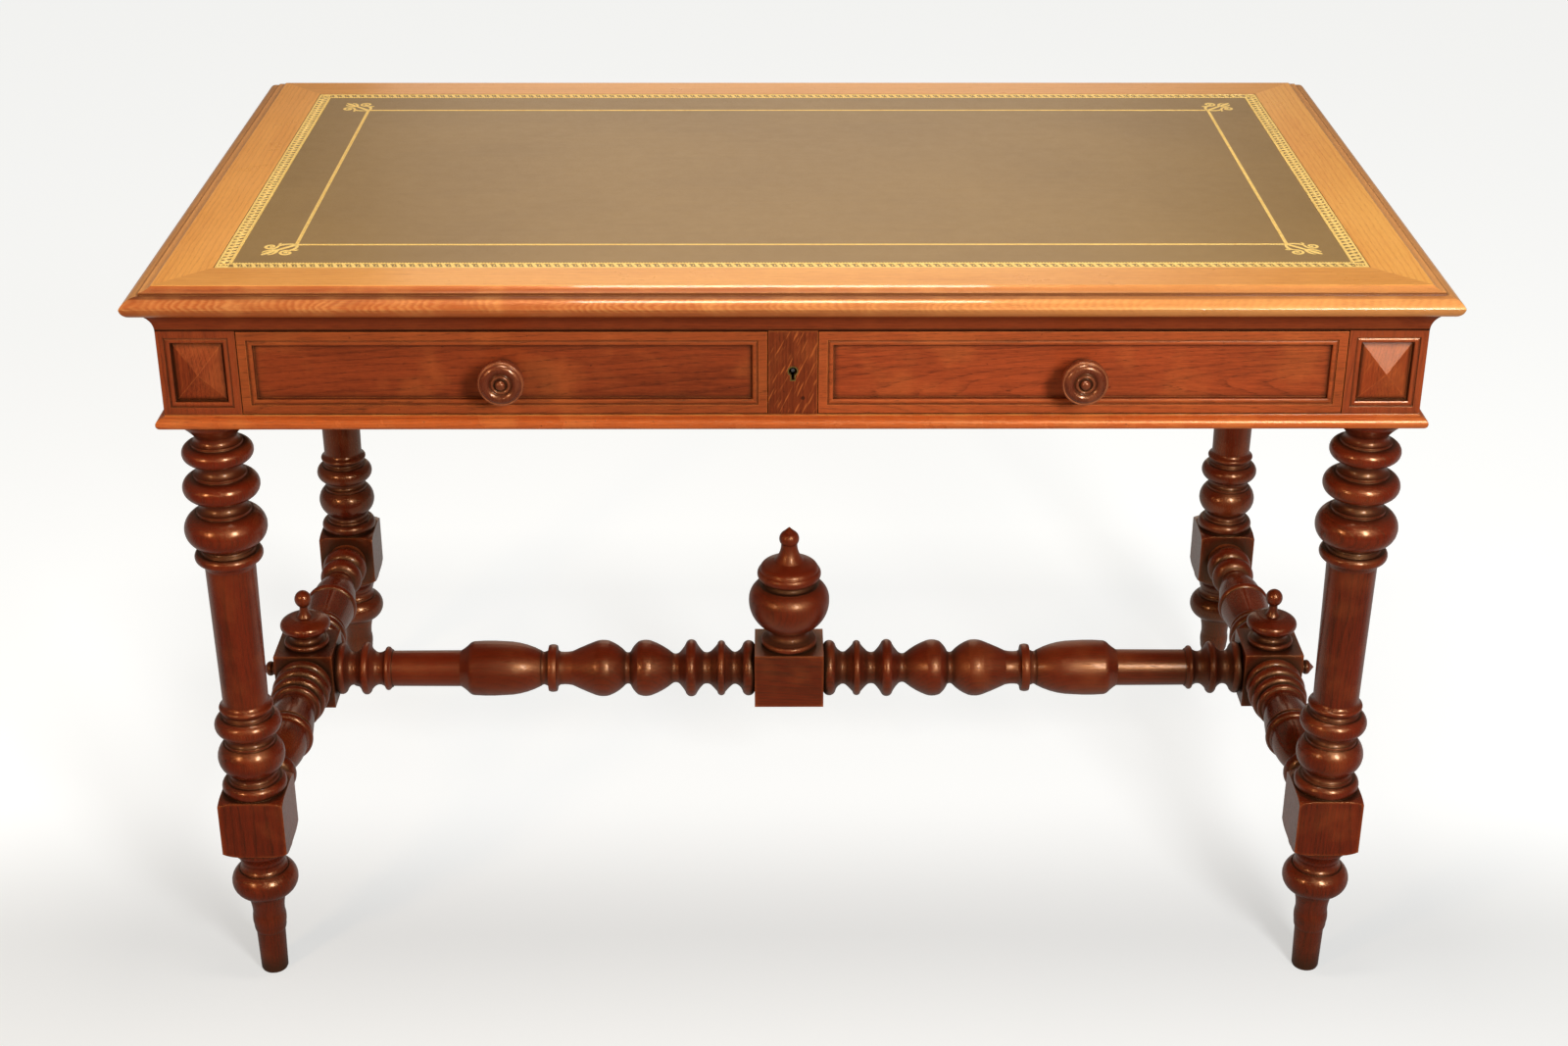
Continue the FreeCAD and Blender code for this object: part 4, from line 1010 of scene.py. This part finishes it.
# %% Corner scrolls
def stamp_corner(tooling, sign_x, sign_y):
    """A stem with two big and two small curls, two leaves and a bud, out along a corner's diagonal."""
    corner = (sign_x * (half_x - line_inset), sign_y * (half_y - line_inset))
    out = (sign_x / math.sqrt(2), sign_y / math.sqrt(2))

    def spot(u, v):
        """Point u out along the diagonal and v to its left."""
        return (corner[0] + out[0] * u - out[1] * v, corner[1] + out[1] * u + out[0] * v)

    def draw(line, widths):
        tooling.stroke([spot(u, v) for u, v in line], widths)

    draw(bent((0.000, 0.0), (0.012, 0.0), (0.026, 0.0)), tapered(12, 0.0026, 0.0014))
    for hand in (-1, 1):
        eye = (0.0195, 0.0120 * hand)
        volute = curl(eye, 0.0066, 0.0014, -hand * 2.55, hand * 8.6)
        draw(volute, tapered(26, 0.0017, 0.0011))
        stalk = bent((0.0, 0.0012 * hand), (0.006, 0.0105 * hand), volute[0])
        draw(stalk, tapered(12, 0.0016, 0.0016))
        small = curl((0.0085, 0.0098 * hand), 0.0030, 0.0008, hand * 2.0, -hand * 5.6, 18)
        draw(small, tapered(18, 0.0013, 0.0009))
        blade = bent((0.0215, 0.001 * hand), (0.0285, 0.0075 * hand), (0.0345, 0.0042 * hand))
        draw(blade, tapered(12, 0.0020, 0.0007))
        tooling.dot(*spot(*eye), 0.0011)
    bud_widths = [0.0014 + 0.0032 * math.sin(math.pi * i / 11) for i in range(12)]
    draw(bent((0.024, 0.0), (0.031, 0.0), (0.0385, 0.0)), bud_widths)


corners = Tooling()
for sign_x in (-1, 1):
    for sign_y in (-1, 1):
        stamp_corner(corners, sign_x, sign_y)
corners.piece("gilt_corner_scrolls", gilt.owner)

# %% [markdown]
# ## Studio
# The table stands on a pale floor that fills the picture, with a painted shadow in a band just in front
# of the table. A lamp on the ceiling over the front edge lights the top, a window to the right of the
# camera puts a white glint on every bulge, and a small warm lamp on the left a golden one. A pale warm
# screen behind the table is seen only in the polish of the top. One big soft lamp would be simpler, but
# turnings look flat without small bright things to mirror.

# %% Floor
floor_half = 9.0
floor_corners = [(x * floor_half, y * floor_half, 0) for x, y in ((-1, -1), (1, -1), (1, 1), (-1, 1))]
floor_mesh = bpy.data.meshes.new("studio_floor")
floor_mesh.from_pydata(floor_corners, [], [(0, 1, 2, 3)])
floor = bpy.data.objects.new("studio_floor", floor_mesh)
scene.collection.objects.link(floor)
paper = new_finish("studio_paper")
looked_at = paper.node("LightPath", {}, {}, "Is Camera Ray")
in_gloss = looked_at.other("Is Glossy Ray")
depth_back = paper.node("SeparateXYZ", {}, {"Vector": paper.place()}, "Y")
mirrored = in_gloss * (0.06 + 0.34 * depth_back.step(-0.5, -0.1))
seen = looked_at + looked_at.other("Is Transmission Ray") + mirrored
# Painted shadow: the floor glows less in a band from just before the front feet to under the table's
# front.
outside_painted_shadow = depth_back.step(-0.28, 0.05) + 1.0 - depth_back.step(-1.6, -0.5)
glow_and_painted_shadow = paper.mix(outside_painted_shadow, (0.54, 0.54, 0.53), (0.81, 0.81, 0.795))
paper.shade(Base_Color=paper.mix(in_gloss, (0.35, 0.35, 0.345), (0.10, 0.10, 0.10)))
paper.shade(Roughness=0.9, Specular_IOR_Level=0.0)
paper.shade(Emission_Color=paper.mix(seen, (0.0, 0.0, 0.0), glow_and_painted_shadow), Emission_Strength=1.0)
floor_mesh.materials.append(paper.owner)
print("floor", 2 * floor_half, "m wide")

# %% World
dim_room, warm_screen = (0.15, 0.12, 0.10), (0.98, 0.82, 0.68)
soft_light, pale_wall = (0.16, 0.16, 0.16), (0.90, 0.90, 0.885)
scene.world = bpy.data.worlds.new("studio")
sky = Finish(scene.world, "Background")
looked_at = sky.node("LightPath", {}, {}, "Is Camera Ray")
mirrored = looked_at.other("Is Glossy Ray") + looked_at.other("Is Transmission Ray")
way = sky.node("SeparateXYZ", {}, {"Vector": sky.node("TexCoord", {}, {}, "Generated")})
sideways = way.other("X") / way.other("Y")
within = sideways.step(-0.18, -0.155) * (1.0 - sideways.step(0.12, 0.26))
screen = way.other("Y").step(0.15, 0.45) * within
light = sky.mix(mirrored, soft_light, sky.mix(screen, dim_room, warm_screen))
sky.shade(Color=sky.mix(looked_at, light, pale_wall), Strength=1.0)
print("a pale screen stands behind the table")


# %% Lamps
def soft_lamp(name, place, aim, size, watts, colour):
    """Rectangular lamp of a width and a height that looks at a point."""
    data = bpy.data.lights.new(name, "AREA")
    data.shape = "RECTANGLE"
    data.size, data.size_y = size
    data.energy = watts
    data.color = colour
    lamp = bpy.data.objects.new(name, data)
    look = (Vector(place) - Vector(aim)).to_track_quat("Z", "Y").to_matrix().to_4x4()
    lamp.matrix_world = Matrix.Translation(place) @ look
    scene.collection.objects.link(lamp)
    print(name, watts, "W")


soft_lamp("ceiling_lamp", (0.0, -0.4, 2.7), (0.0, -0.4, 0.0), (0.7, 0.5), 27.0, (1.0, 0.96, 0.90))
soft_lamp("window_lamp", (1.1, -2.5, 1.85), (0.0, -0.2, 0.5), (0.55, 1.0), 64.0, (0.96, 0.98, 1.0))
soft_lamp("lamp_on_the_left", (-1.7, -1.9, 1.4), (-0.2, -0.2, 0.45), (0.3, 0.5), 13.0, (1.0, 0.74, 0.48))
scene.view_settings.view_transform = "Standard"
